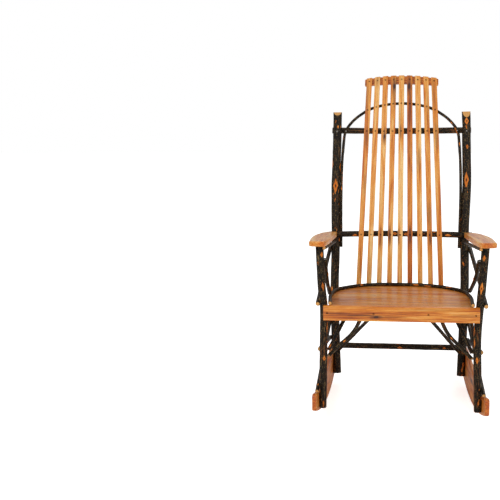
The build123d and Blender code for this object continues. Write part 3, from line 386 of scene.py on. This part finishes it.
# Each point's distance along the line, and its two offsets from the line.
def straighten(points, line):
    starts, runs = line[:-1], line[1:] - line[:-1]
    lengths = np.linalg.norm(runs, axis=1)
    marks = np.concatenate([[0], np.cumsum(lengths)])
    ways = runs / lengths[:, None]
    sideways = np.array([0, -1.0, 0]) if np.abs(ways[:, 1]).max() < 0.75 else np.array([0, 0, 1.0])
    best = np.full(len(points), 1e9)
    along = np.zeros(len(points))
    which = np.zeros(len(points), int)
    for index in range(len(runs)):
        offset = points - starts[index]
        share = np.clip(offset @ ways[index], 0, lengths[index])
        gap = np.linalg.norm(offset - share[:, None] * ways[index], axis=1)
        closer = gap < best
        best[closer] = gap[closer]
        along[closer] = marks[index] + share[closer]
        which[closer] = index
    share = (along - marks[which]) / lengths[which]
    smoothWays = np.vstack([ways[:1], (ways[1:] + ways[:-1]) / 2, ways[-1:]])
    way = smoothWays[which] * (1 - share[:, None]) + smoothWays[which + 1] * share[:, None]
    way /= np.linalg.norm(way, axis=1)[:, None]
    centre = starts[which] + runs[which] * share[:, None]
    frontWay = sideways - way * (way @ sideways)[:, None]
    frontWay /= np.linalg.norm(frontWay, axis=1)[:, None]
    turnWay = np.cross(way, frontWay)
    offset = points - centre
    offset -= way * np.sum(offset * way, axis=1)[:, None]
    return along, np.sum(offset * frontWay, axis=1), np.sum(offset * turnWay, axis=1), offset, marks[-1]


def setFloats(mesh, name, values):
    mesh.attributes.new(name, "FLOAT", "POINT").data.foreach_set("value", np.asarray(values, np.float32))


def buildStick(name):
    source = nodes[name]
    radius = stickRadius(source)
    copy = bpy.data.objects.new("copy", source.data.copy())
    bpy.context.scene.collection.objects.link(copy)
    remesh = copy.modifiers.new("remesh", "REMESH")
    remesh.mode = "VOXEL"
    remesh.voxel_size = stickPieces["cell"] if radius > 0.012 else stickPieces["thinCell"]
    remesh.use_smooth_shade = True
    mesh = bpy.data.meshes.new_from_object(copy.evaluated_get(bpy.context.evaluated_depsgraph_get()))
    mesh.name = name + "_bark"
    bpy.data.objects.remove(copy)
    points = np.zeros(len(mesh.vertices) * 3, np.float32)
    mesh.vertices.foreach_get("co", points)
    points = points.reshape(-1, 3).astype(float)
    line = traceLine(points, radius)
    radius = np.median(np.hypot(*straighten(points, line)[1:3]))
    line = traceLine(points, radius)
    along, front, side, offset, length = straighten(points, line)
    gap = np.hypot(front, side)
    rim = gap / radius
    sawnShare, sawnFade = stickPieces["sawnRim"]
    sawn = np.clip((sawnShare - rim) / sawnFade, 0, 1)
    if name.startswith("arm_prop"):
        sawn *= along < length / 2
    angle = np.arctan2(side, front)
    seed = sum(ord(letter) for letter in name) * 0.61
    peel = np.zeros(len(points))
    knot = np.zeros(len(points))
    rise = np.zeros(len(points))
    for share, degrees, halfLength, halfWidth, height in stickPieces["knots"].get(name, []):
        down = np.abs(along - (3 * radius + share * (length - 6 * radius))) * 1000
        turned = np.abs((angle - math.radians(degrees) + math.pi) % (2 * math.pi) - math.pi) * radius * 1000
        spread = down / halfLength + turned / halfWidth
        peel = np.maximum(peel, 1 - spread / 2)
        near = np.hypot(down / (0.45 * halfLength), turned / (0.6 * halfWidth))
        knot = np.maximum(knot, 1 - near * 0.75) if height > 0.55 else knot
        rise += np.exp(-near ** 2 * 0.6) * height / 1000
    relief = np.zeros(len(points))
    broadRound, broadAlong = stickPieces["swellingScale"]
    fineRound, fineAlong = stickPieces["ridgingScale"]
    for index in range(len(points)):
        x, y, z = front[index], side[index], along[index]
        broad = noise.noise((x * broadRound + seed, y * broadRound, z * broadAlong))
        fine = noise.noise((x * fineRound, y * fineRound + seed, z * fineAlong))
        relief[index] = stickPieces["swelling"] * broad + stickPieces["ridging"] * fine
    relief += rise - stickPieces["barkThickness"] * np.clip(peel * 3 - 1, 0, 1)
    outward = offset / np.maximum(gap, 1e-6)[:, None]
    points += outward * (relief * (1 - sawn) * np.clip(rim, 0, 1))[:, None]
    mesh.vertices.foreach_set("co", points.astype(np.float32).ravel())
    stick = mesh.attributes.new("stick", "FLOAT_VECTOR", "POINT")
    stick.data.foreach_set("vector", np.column_stack([front + seed, side, along]).astype(np.float32).ravel())
    setFloats(mesh, "rim", rim)
    setFloats(mesh, "sawn", sawn)
    setFloats(mesh, "peel", np.clip(peel, 0, 1))
    setFloats(mesh, "knot", np.clip(knot, 0, 1))
    mesh.update()
    addPiece(name + "_bark", mesh, bark, name)


# A round stick's radius from its solid: twice the volume over the surface.
def stickRadius(source):
    solid = bmesh.new()
    solid.from_mesh(source.data)
    area = sum(face.calc_area() for face in solid.faces)
    volume = solid.calc_volume()
    solid.free()
    return 2 * volume / area * 1.01


for name in stickNames:
    buildStick(name)
print("stage: sticks,", len(stickNames))

# Fasteners. Each loose part of a CAD group is one screw, bolt or nail, read as an axis from its head.
fastenerGroups = {
    # name: slot, head recess (share of the head), dome (share of the head's height), colour, roughness
    "slat_screws": ("dark_screws", 0.62, 0.0, "#16120E", 0.5),
    "apron_screws": ("dark_screws", 0.62, 0.0, "#16120E", 0.5),
    "seat_screws": ("dark_screws", 0.62, 0.0, "#16120E", 0.5),
    "arm_screws": ("dark_screws", 0.62, 0.0, "#16120E", 0.5),
    "frame_nails": ("steel_fixings", 0.0, 0.5, "#8F8B84", 0.38),
    "rocker_bolts": ("steel_fixings", 0.0, 0.6, "#8F8B84", 0.38),
}
threadPitch = 0.0016    # metres


def readFasteners(name):
    solid = bmesh.new()
    solid.from_mesh(nodes[name].data)
    bmesh.ops.remove_doubles(solid, verts=solid.verts, dist=1e-6)
    found = []
    waiting = set(solid.verts)
    while waiting:
        reached = [waiting.pop()]
        for vertex in reached:
            for edge in vertex.link_edges:
                other = edge.other_vert(vertex)
                if other in waiting:
                    waiting.remove(other)
                    reached.append(other)
        points = np.array([vertex.co for vertex in reached])
        middle = points.mean(axis=0)
        way = np.linalg.svd(points - middle, full_matrices=False)[2][0]
        high = (points - middle) @ way
        wide = np.linalg.norm(points - middle - np.outer(high, way), axis=1)
        if wide[high > high.mean()].max() < wide[high < high.mean()].max():
            way, high = -way, -high
        shank = wide[high < high.min() + 1e-4].max()
        neck = high[wide < shank * 1.08].max()
        found.append({
            "head": middle + way * high.max(), "way": way, "length": high.max() - high.min(),
            "radius": wide.max(), "shank": shank, "headHeight": high.max() - neck})
    solid.free()
    return found


fasteners = {name: readFasteners(name) for name in fastenerGroups}


# One turned shape about +Z with its head's face at Z = 0: rings of (height, radius), then the top.
def turnedHead(item, recess, dome):
    radius, shank, depth = item["radius"], item["shank"], item["headHeight"]
    if dome:
        rings = [(-0.02 * depth, radius * 0.45), (-0.25 * dome * depth, radius * 0.78)]
        rings += [(-dome * depth, radius)]
        rings += [(-depth * 0.9, radius * 0.98), (-depth, shank), (-item["length"] + 2 * shank, shank)]
    else:
        rings = [(0, radius * 0.93), (-0.00022, radius), (-depth, shank)]
        rounds = max(2, int((item["length"] - depth - 0.004) / threadPitch))
        for index in range(rounds):
            height = -depth - threadPitch * index
            rings += [(height - 0.0004, shank), (height - 0.0008, shank * 0.82), (height - 0.0012, shank)]
    rings.append((-item["length"], shank * 0.15))
    count = 24
    vertices = []
    for height, wide in rings:
        for index in range(count):
            angle = math.radians(7.5 + index * 360 / count)
            vertices.append((wide * math.cos(angle), wide * math.sin(angle), height))
    faces = []
    for ring in range(len(rings) - 1):
        for index in range(count):
            after = (index + 1) % count
            here, below = ring * count, (ring + 1) * count
            faces.append((here + index, below + index, below + after, here + after))
    faces.append(tuple((len(rings) - 1) * count + index for index in reversed(range(count))))
    if not recess:
        faces.append(tuple(range(count)))
        return vertices, faces
    # Cross recess: twelve corners on the face and again at its floor.
    reach, half = recess * radius, 0.13 * radius
    corners = []
    for quarter in range(4):
        cos, sin = [(1, 0), (0, 1), (-1, 0), (0, -1)][quarter]
        for x, y in ((reach, -half), (reach, half), (half, half)):
            corners.append((x * cos - y * sin, x * sin + y * cos))
    top = len(vertices)
    vertices += [(x, y, 0) for x, y in corners]
    vertices += [(x * 0.7, y * 0.7, -0.55 * depth) for x, y in corners]
    for quarter in range(4):
        first = quarter * 6
        tip, tipAfter, corner = (top + quarter * 3 + step for step in range(3))
        nextTip = top + (quarter * 3 + 3) % 12
        rim = [(first + step - 1) % count for step in range(7)]
        faces.append((rim[0], rim[1], tipAfter, tip))
        faces.append((rim[1], rim[2], rim[3], corner, tipAfter))
        faces.append((rim[3], rim[4], corner))
        faces.append((rim[4], rim[5], rim[6], nextTip, corner))
    for index in range(12):
        after = (index + 1) % 12
        faces.append((top + index, top + after, top + 12 + after, top + 12 + index))
    faces.append(tuple(top + 12 + index for index in range(12)))
    return vertices, faces


# Oiled or plated steel.
for name, (slot, recess, dome, colour, rough) in fastenerGroups.items():
    metal, tree, shader = newMaterial(name + "Steel", {
        "Base Color": toLinear(colour), "Metallic": 0.85, "Roughness": rough})
    speck = addNode(tree, "TexNoise", {"Scale": 900.0, "Detail": 2.0})
    tarnish = addNode(tree, "MapRange", {1: 0.3, 2: 0.7, 3: rough - 0.1, 4: rough + 0.15},
                      {0: speck.outputs[0]})
    tree.links.new(tarnish.outputs[0], shader.inputs["Roughness"])
    vertices, faces = [], []
    for item in fasteners[name]:
        turnTo = Vector(item["way"]).to_track_quat("Z", "Y").to_matrix()
        points, polygons = turnedHead(item, recess, dome)
        start = len(vertices)
        vertices += [turnTo @ Vector(point) + Vector(item["head"]) for point in points]
        faces += [tuple(start + corner for corner in polygon) for polygon in polygons]
    mesh = bpy.data.meshes.new(name + "_turned")
    mesh.from_pydata(vertices, [], faces)
    mesh.shade_smooth()
    mesh.set_sharp_from_angle(angle=math.radians(35))
    addPiece(name + "_turned", mesh, metal, name)
print("stage: fasteners,", sum(len(group) for group in fasteners.values()))


# Planed hickory under clear lacquer. Heartwood runs from straw to red brown in streaks along the grain.
boardFinish = {
    "ringSpacing": 0.0045,    # metres; real growth rings are 2 to 3 mm, drawn coarser to show
    "stops": [(0.0, "#F0C480"), (0.28, "#E39C45"), (0.5, "#D0771C"), (0.74, "#A84F0C"), (1.0, "#6A2C05")],
    "endGrain": "#EBC98A",
    "stain": "#5C2605",
    "knot": "#3E1A07",
    "closingReach": 0.0004,    # metres round a head that are closed with its hole
    "notchDepth": 0.09,        # where the arms' notches begin, metres behind the middle of the chair
    "cornerCell": 0.002,       # how finely an outline is cut before its corner is rounded
    "foldAngle": 0.6,          # radians from which an edge counts as sharp
}
# tone runs from 0, light, to 1, dark. pith is where the rings' centre lies, across and through, in
# metres. A mark is (along, across, half length, half width) in mm, darkness, and 1 for a knot.
boardLooks = {
    "back_slat_1": {"tone": 0.40, "pith": (0.012, -0.045), "marks": [
        (940, 0, 45, 9, 0.5, 0), (770, 4, 60, 7, 0.35, 0), (1080, -6, 90, 8, 0.35, 0)]},
    "back_slat_2": {"tone": 0.25, "pith": (-0.02, -0.05), "marks": [(1150, 0, 25, 9, 0.3, 0)]},
    "back_slat_3": {"tone": 0.30, "pith": (0.01, -0.06), "marks": [
        (942, 3, 34, 8, 0.8, 1), (565, 0, 45, 6, 0.6, 0)]},
    "back_slat_4": {"tone": 0.38, "pith": (-0.005, -0.04), "marks": [
        (1131, 4, 44, 10, 0.85, 1), (1095, 5, 60, 6, 0.5, 0), (575, -3, 42, 6, 0.95, 0)]},
    "back_slat_5": {"tone": 0.16, "pith": (0.02, -0.05), "marks": [
        (963, -3, 34, 5, 0.7, 0), (1000, -5, 60, 4, 0.35, 0), (572, -6, 36, 5, 0.75, 0)]},
    "back_slat_6": {"tone": 0.62, "pith": (0.0, -0.035), "marks": [
        (1130, -2, 42, 12, 0.75, 1), (1085, 2, 95, 5, 0.6, 0), (900, 0, 160, 8, 0.2, 0),
        (575, 0, 45, 7, 0.95, 0)]},
    "back_slat_7": {"tone": 0.28, "pith": (-0.015, -0.05), "marks": [(852, 0, 60, 9, 0.4, 0)]},
    "back_slat_8": {"tone": 0.34, "pith": (0.012, -0.05), "marks": [
        (653, 0, 60, 9, 0.45, 0), (569, 2, 36, 6, 0.85, 0), (1040, 4, 90, 5, 0.3, 0)]},
    "back_slat_9": {"tone": 0.42, "pith": (-0.01, -0.04), "marks": [
        (944, 2, 60, 9, 0.5, 0), (1100, -3, 80, 8, 0.3, 0)]},
    "crest_rail": {"tone": 0.55, "pith": (0.03, -0.03), "marks": [
        (-120, 0, 30, 12, 0.4, 0), (60, 5, 40, 10, 0.4, 0)]},
    "seat_slat_1": {"tone": 0.44, "pith": (0.02, -0.05), "marks": [(-90, 10, 60, 8, 0.4, 0)]},
    "seat_slat_2": {"tone": 0.40, "pith": (-0.03, -0.05), "marks": [(110, -8, 70, 9, 0.4, 0)]},
    "seat_slat_3": {"tone": 0.47, "pith": (0.01, -0.06), "marks": [(-30, 10, 60, 9, 0.4, 0)]},
    "seat_slat_4": {"tone": 0.40, "pith": (-0.01, -0.05), "marks": [(60, -12, 80, 8, 0.4, 0)]},
    "seat_slat_5": {"tone": 0.50, "pith": (0.03, -0.05), "marks": [(-140, 5, 60, 9, 0.4, 0)]},
    "seat_slat_6": {"tone": 0.46, "pith": (0.0, -0.05), "marks": [(130, 0, 60, 9, 0.4, 0)]},
    "front_apron": {"tone": 0.50, "pith": (-0.03, -0.03), "marks": [
        (-82, -15, 30, 8, 0.85, 1), (-135, -10, 75, 4, 0.85, 0), (-215, -4, 60, 4, 0.5, 0),
        (-40, -14, 70, 4, 0.5, 0), (110, 12, 120, 5, 0.25, 0), (215, -6, 60, 6, 0.35, 0)]},
    "arm_left": {"tone": 0.34, "pith": (0.03, -0.05), "marks": [(-120, 20, 60, 8, 0.3, 0)]},
    "arm_right": {"tone": 0.38, "pith": (-0.03, -0.05), "marks": [(-150, -15, 60, 8, 0.35, 0)]},
    "rocker_left": {"tone": 0.50, "pith": (0.03, -0.05), "marks": [
        (-200, 0, 90, 9, 0.4, 0), (120, 5, 90, 9, 0.3, 0)]},
    "rocker_right": {"tone": 0.50, "pith": (-0.03, -0.05), "marks": [
        (-60, 0, 60, 12, 0.85, 1), (-180, 5, 90, 9, 0.4, 0)]},
    "side_bearer_left": {"tone": 0.3, "pith": (0.03, -0.04), "marks": []},
    "side_bearer_right": {"tone": 0.35, "pith": (-0.03, -0.04), "marks": []},
    "middle_bearer_left": {"tone": 0.3, "pith": (0.02, -0.04), "marks": []},
    "middle_bearer_right": {"tone": 0.35, "pith": (-0.02, -0.04), "marks": []},
}
boardKinds = {
    # start of the name: along, across and through the board, each as an axis and the degree of the curve
    # that it is measured from, then slot, roughness, coat, and how far its corners and its edges are
    # rounded in metres
    "back_slat": ((2, 1), (0, 1), (1, 5), "lacquered_hickory", 0.36, 0.2, 0, 0.0008),
    "crest_rail": ((0, 1), (2, 2), (1, 2), "lacquered_hickory", 0.36, 0.2, 0, 0.0012),
    "seat_slat": ((0, 1), (1, 0), (2, 2), "lacquered_hickory", 0.34, 0.15, 0, 0.0016),
    "front_apron": ((0, 1), (2, 0), (1, 0), "lacquered_hickory", 0.34, 0.15, 0, 0.0012),
    "arm": ((1, 1), (0, 1), (2, 1), "lacquered_hickory", 0.34, 0.15, 0.014, 0.005),
    "rocker": ((1, 1), (2, 0), (0, 0), "lacquered_hickory", 0.42, 0.08, 0, 0.0075),
    "side_bearer": ((1, 1), (2, 0), (0, 0), "sawn_hickory", 0.6, 0.0, 0, 0.0012),
    "middle_bearer": ((1, 1), (2, 0), (0, 0), "sawn_hickory", 0.6, 0.0, 0, 0.0012),
}


def hickoryBoard(name, look, rough, coat):
    finish = boardFinish
    material, tree, shader = newMaterial(name + "Hickory", {
        "IOR": 1.5, "Coat Weight": coat, "Coat Roughness": 0.12, "Coat IOR": 1.5})
    seed = sum(ord(letter) * (index + 3) for index, letter in enumerate(name)) * 0.37
    grain = addNode(tree, "Attribute", {"attribute_name": "grain"}).outputs["Vector"]
    shift = addNode(tree, "VectorMath", {"operation": "ADD", 1: (seed, 0, 0)}, {0: grain})
    waver = addNode(tree, "VectorMath", {"operation": "MULTIPLY", 1: (4, 16, 16)}, {0: shift.outputs[0]})
    waver = addNode(tree, "TexNoise", {"Scale": 1.0, "Detail": 2.0}, {"Vector": waver.outputs[0]})
    waver = addNode(tree, "Math", {"operation": "MULTIPLY_ADD", 1: 0.014, 2: -0.007}, {0: waver.outputs[0]})
    waver = addNode(tree, "CombineXYZ", {}, {1: waver.outputs[0]})
    bent = addNode(tree, "VectorMath", {"operation": "ADD"}, {0: grain, 1: waver.outputs[0]}).outputs[0]
    ragged = addNode(tree, "VectorMath", {"operation": "MULTIPLY", 1: (30, 260, 260)}, {0: shift.outputs[0]})
    ragged = addNode(tree, "TexNoise", {"Scale": 1.0, "Detail": 2.0}, {"Vector": ragged.outputs[0]})
    ragged = addNode(tree, "Math", {"operation": "MULTIPLY_ADD", 1: 0.9, 2: -0.45}, {0: ragged.outputs[0]})
    stain = knots = None
    for along, across, halfLength, halfWidth, darkness, isKnot in look["marks"]:
        spot = addNode(tree, "VectorMath", {
            "operation": "SUBTRACT", 1: (along / 1000, across / 1000, 0)}, {0: grain})
        scaled = addNode(tree, "VectorMath", {
            "operation": "MULTIPLY", 1: (1000 / halfLength, 1000 / halfWidth, 0)}, {0: spot.outputs[0]})
        distance = addNode(tree, "VectorMath", {"operation": "LENGTH"}, {0: scaled.outputs[0]})
        raggedDistance = addNode(tree, "Math", {"operation": "ADD"},
                                 {0: distance.outputs["Value"], 1: ragged.outputs[0]})
        mask = addNode(tree, "MapRange", {
            "interpolation_type": "SMOOTHSTEP", 1: 1.25, 2: 0.25, 3: 0.0, 4: darkness},
            {0: raggedDistance.outputs[0]}).outputs[0]
        stain = mask if stain is None else addNode(
            tree, "Math", {"operation": "MAXIMUM"}, {0: stain, 1: mask}).outputs[0]
        if isKnot:
            eye = addNode(tree, "VectorMath", {
                "operation": "MULTIPLY", 1: (600 / halfWidth, 1200 / halfWidth, 0)}, {0: spot.outputs[0]})
            eye = addNode(tree, "VectorMath", {"operation": "LENGTH"}, {0: eye.outputs[0]})
            eye = addNode(tree, "Math", {"operation": "ADD"}, {0: eye.outputs["Value"], 1: ragged.outputs[0]})
            core = addNode(tree, "MapRange", {"interpolation_type": "SMOOTHSTEP", 1: 0.75, 2: 0.35},
                           {0: eye.outputs[0]}).outputs[0]
            knots = core if knots is None else addNode(
                tree, "Math", {"operation": "MAXIMUM"}, {0: knots, 1: core}).outputs[0]
            # The grain spreads to go round the knot.
            spread = addNode(tree, "MapRange", {
                "interpolation_type": "SMOOTHSTEP", 1: 2.4, 2: 0.2, 3: 0.0, 4: -0.55},
                {0: distance.outputs["Value"]})
            aside = addNode(tree, "VectorMath", {"operation": "MULTIPLY", 1: (0, 1, 0)}, {0: spot.outputs[0]})
            aside = addNode(tree, "VectorMath", {"operation": "SCALE"},
                            {0: aside.outputs[0], "Scale": spread.outputs[0]})
            bent = addNode(tree, "VectorMath", {"operation": "ADD"}, {0: bent, 1: aside.outputs[0]}).outputs[0]
    # Growth rings round a pith that lies outside the board.
    pith = addNode(tree, "VectorMath", {"operation": "ADD", 1: (0, *look["pith"])}, {0: bent})
    flat = addNode(tree, "VectorMath", {"operation": "MULTIPLY", 1: (0.02, 1, 1)}, {0: pith.outputs[0]})
    radius = addNode(tree, "VectorMath", {"operation": "LENGTH"}, {0: flat.outputs[0]})
    taper = addNode(tree, "VectorMath", {"operation": "DOT_PRODUCT", 1: (0.012, 0, 0)}, {0: shift.outputs[0]})
    radius = addNode(tree, "Math", {"operation": "ADD"},
                     {0: radius.outputs["Value"], 1: taper.outputs["Value"]})
    ringTurns = addNode(tree, "Math", {"operation": "DIVIDE", 1: finish["ringSpacing"]},
                        {0: radius.outputs[0]})
    ringShare = addNode(tree, "Math", {"operation": "FRACT"}, {0: ringTurns.outputs[0]})
    lateWood = addNode(tree, "ValToRGB", {
        "stops": [(0.0, 0.75), (0.12, 0.1), (0.6, 0.25), (0.92, 1.0), (1.0, 0.75)]},
        {"Fac": ringShare.outputs[0]})

    def streaks(scales, detail, strength):
        place = addNode(tree, "VectorMath", {"operation": "ADD", 1: (seed, 0.3, 0.1)}, {0: bent})
        place = addNode(tree, "VectorMath", {"operation": "MULTIPLY", 1: scales}, {0: place.outputs[0]})
        field = addNode(tree, "TexNoise", {"Scale": 1.0, "Detail": detail, "Roughness": 0.6},
                        {"Vector": place.outputs[0]})
        return addNode(tree, "Math", {"operation": "MULTIPLY_ADD", 1: strength, 2: -strength / 2},
                       {0: field.outputs[0]})

    cloud = streaks((4.5, 60, 60), 3.0, 1.25)
    band = streaks((9, 170, 170), 3.0, 0.75)
    fibre = streaks((26, 700, 700), 3.0, 0.5)
    total = addNode(tree, "Math", {"operation": "MULTIPLY_ADD", 1: 0.22, 2: look["tone"] - 0.09},
                    {0: lateWood.outputs[0]})
    for part in (cloud, band, fibre):
        total = addNode(tree, "Math", {"operation": "ADD"}, {0: total.outputs[0], 1: part.outputs[0]})
    colour = addNode(tree, "ValToRGB", {"stops": finish["stops"]}, {"Fac": total.outputs[0]}).outputs[0]
    # Pores: short dark dashes along the grain.
    poreField = streaks((75, 1500, 1500), 1.0, 1.0)
    pores = addNode(tree, "MapRange", {
        "interpolation_type": "SMOOTHSTEP", 1: 0.13, 2: 0.22, 3: 1.0, 4: 0.62}, {0: poreField.outputs[0]})
    colour = addNode(tree, "Mix", {"data_type": "RGBA", "blend_type": "MULTIPLY", 0: 1.0},
                     {6: colour, 7: pores.outputs[0]}).outputs[2]
    if stain is not None:
        colour = addNode(tree, "Mix", {"data_type": "RGBA", 7: toLinear(finish["stain"])},
                         {0: stain, 6: colour}).outputs[2]
    if knots is not None:
        colour = addNode(tree, "Mix", {"data_type": "RGBA", 7: toLinear(finish["knot"])},
                         {0: knots, 6: colour}).outputs[2]
    endGrain = addNode(tree, "Attribute", {"attribute_name": "endGrain"}).outputs["Fac"]
    colour = addNode(tree, "Mix", {
        "data_type": "RGBA", "blend_type": "MULTIPLY", 7: toLinear(finish["endGrain"])},
        {0: endGrain, 6: colour}).outputs[2]
    tree.links.new(colour, shader.inputs["Base Color"])
    roughNode = addNode(tree, "MapRange", {1: -0.25, 2: 0.25, 3: rough - 0.05, 4: rough + 0.07},
                        {0: fibre.outputs[0]})
    tree.links.new(roughNode.outputs[0], shader.inputs["Roughness"])
    bump = addNode(tree, "Bump", {"Strength": 0.25, "Distance": 0.0003}, {"Height": pores.outputs[0]})
    tree.links.new(bump.outputs[0], shader.inputs["Normal"])
    return material


axes = [item for group in fasteners.values() for item in group]


# Rounds the two front corners of a board's outline: the outline is cut finer there, then each point
# moves onto a curve that starts and ends a reach away from the corner.
def roundCorners(board, throughAxis, reach):
    cell, fold = boardFinish["cornerCell"], boardFinish["foldAngle"]
    foremost = min(vertex.co.y for vertex in board.verts)

    def isCorner(edge):
        way = (edge.verts[1].co - edge.verts[0].co).normalized()
        return (abs(way[throughAxis]) > 0.9 and edge.verts[0].co.y < foremost + 0.03
                and len(edge.link_faces) == 2 and edge.calc_face_angle() > fold)

    def isOutline(edge):
        return len(edge.link_faces) == 2 and edge.calc_face_angle() > fold and not isCorner(edge)

    near = [edge for edge in board.edges if isOutline(edge) and edge.verts[0].co.y < foremost + 0.1
            and edge.verts[1].co.y < foremost + 0.1]
    for edge in near:
        if edge.calc_length() >= cell:
            edge.tag = True
    lengths = sorted({round(edge.calc_length(), 4) for edge in near if edge.tag})
    for length in lengths:
        group = [edge for edge in board.edges
                 if edge.is_valid and edge.tag and round(edge.calc_length(), 4) == length]
        bmesh.ops.subdivide_edges(board, edges=group, cuts=int(length / cell), use_grid_fill=True)
    moves = []
    for corner in [edge for edge in board.edges if isCorner(edge)]:
        for vertex in corner.verts:
            sides = []
            for first in [edge for edge in vertex.link_edges if isOutline(edge)]:
                path, here, edge, run = [(0.0, vertex)], vertex, first, 0.0
                while run < reach:
                    run += edge.calc_length()
                    here = edge.other_vert(here)
                    path.append((run, here))
                    after = [other for other in here.link_edges if other is not edge and isOutline(other)]
                    if not after:
                        break
                    edge = after[0]
                sides.append(path)
            if len(sides) == 2:
                for path, otherPath in (sides, sides[::-1]):
                    start, finish = path[-1][1].co.copy(), otherPath[-1][1].co.copy()
                    for run, point in path:
                        share = (1 - run / path[-1][0]) / 2
                        bend = start * (1 - share) ** 2 + vertex.co * 2 * share * (1 - share) + finish * share ** 2
                        moves.append((point, bend))
    for point, place in moves:
        point.co = place


# A copy of a board's solid with its screw holes closed under the heads, its edges eased and its
# grain marked.
def buildBoard(name, look):
    kind = next(kind for kind in boardKinds if name.startswith(kind))
    along, across, through, slot, rough, coat, cornerReach, edgeReach = boardKinds[kind]
    board = bmesh.new()
    board.from_mesh(nodes[name].data)
    bmesh.ops.remove_doubles(board, verts=board.verts, dist=1e-6)
    points = np.array([vertex.co for vertex in board.verts])
    inHole = np.zeros(len(points), bool)
    for item in axes:
        offset = points - item["head"]
        down = offset @ item["way"]
        wide = np.linalg.norm(offset - np.outer(down, item["way"]), axis=1)
        deep = (down < 0.003) & (down > -item["length"] - 0.003)
        inHole |= deep & (wide < item["radius"] + boardFinish["closingReach"])
    walls = [face for face in board.faces if all(inHole[vertex.index] for vertex in face.verts)]
    bmesh.ops.delete(board, geom=walls, context="FACES")
    bmesh.ops.holes_fill(board, edges=[edge for edge in board.edges if edge.is_boundary], sides=0)
    bmesh.ops.dissolve_limit(board, angle_limit=math.radians(0.4), verts=board.verts, edges=board.edges)
    if cornerReach:
        roundCorners(board, through[0], cornerReach)
    fold, notchDepth = boardFinish["foldAngle"], boardFinish["notchDepth"]
    sharp = [edge for edge in board.edges if len(edge.link_faces) == 2 and edge.calc_face_angle() > fold]
    if cornerReach:
        # The narrow notches round the rear post keep their saw cut edges.
        sharp = [edge for edge in sharp if max(vertex.co.y for vertex in edge.verts) < notchDepth]
    bmesh.ops.bevel(board, geom=sharp, offset=edgeReach, segments=5, profile=0.5, affect="EDGES",
                    clamp_overlap=not cornerReach)
    bmesh.ops.recalc_face_normals(board, faces=board.faces)
    mesh = bpy.data.meshes.new(name + "_board")
    board.to_mesh(mesh)
    board.free()
    points = np.zeros(len(mesh.vertices) * 3, np.float32)
    mesh.vertices.foreach_get("co", points)
    points = points.reshape(-1, 3).astype(float)
    distance = points[:, along[0]]
    grain = [distance]
    for axis, degree in (across, through):
        values = points[:, axis]
        grain.append(values - np.polyval(np.polyfit(distance, values, degree), distance))
    mesh.attributes.new("grain", "FLOAT_VECTOR", "POINT").data.foreach_set(
        "vector", np.column_stack(grain).astype(np.float32).ravel())
    ends = [min(max(abs(face.normal[along[0]]) * 2.5 - 1.2, 0.0), 1.0) for face in mesh.polygons]
    mesh.attributes.new("endGrain", "FLOAT", "FACE").data.foreach_set("value", ends)
    mesh.shade_smooth()
    mesh.set_sharp_from_angle(angle=math.radians(40))
    piece = addPiece(name + "_board", mesh, hickoryBoard(name, look, rough, coat), name)
    piece.modifiers.new("normals", "WEIGHTED_NORMAL").keep_sharp = True


for name, look in boardLooks.items():
    buildBoard(name, look)
print("stage: boards,", len(boardLooks))
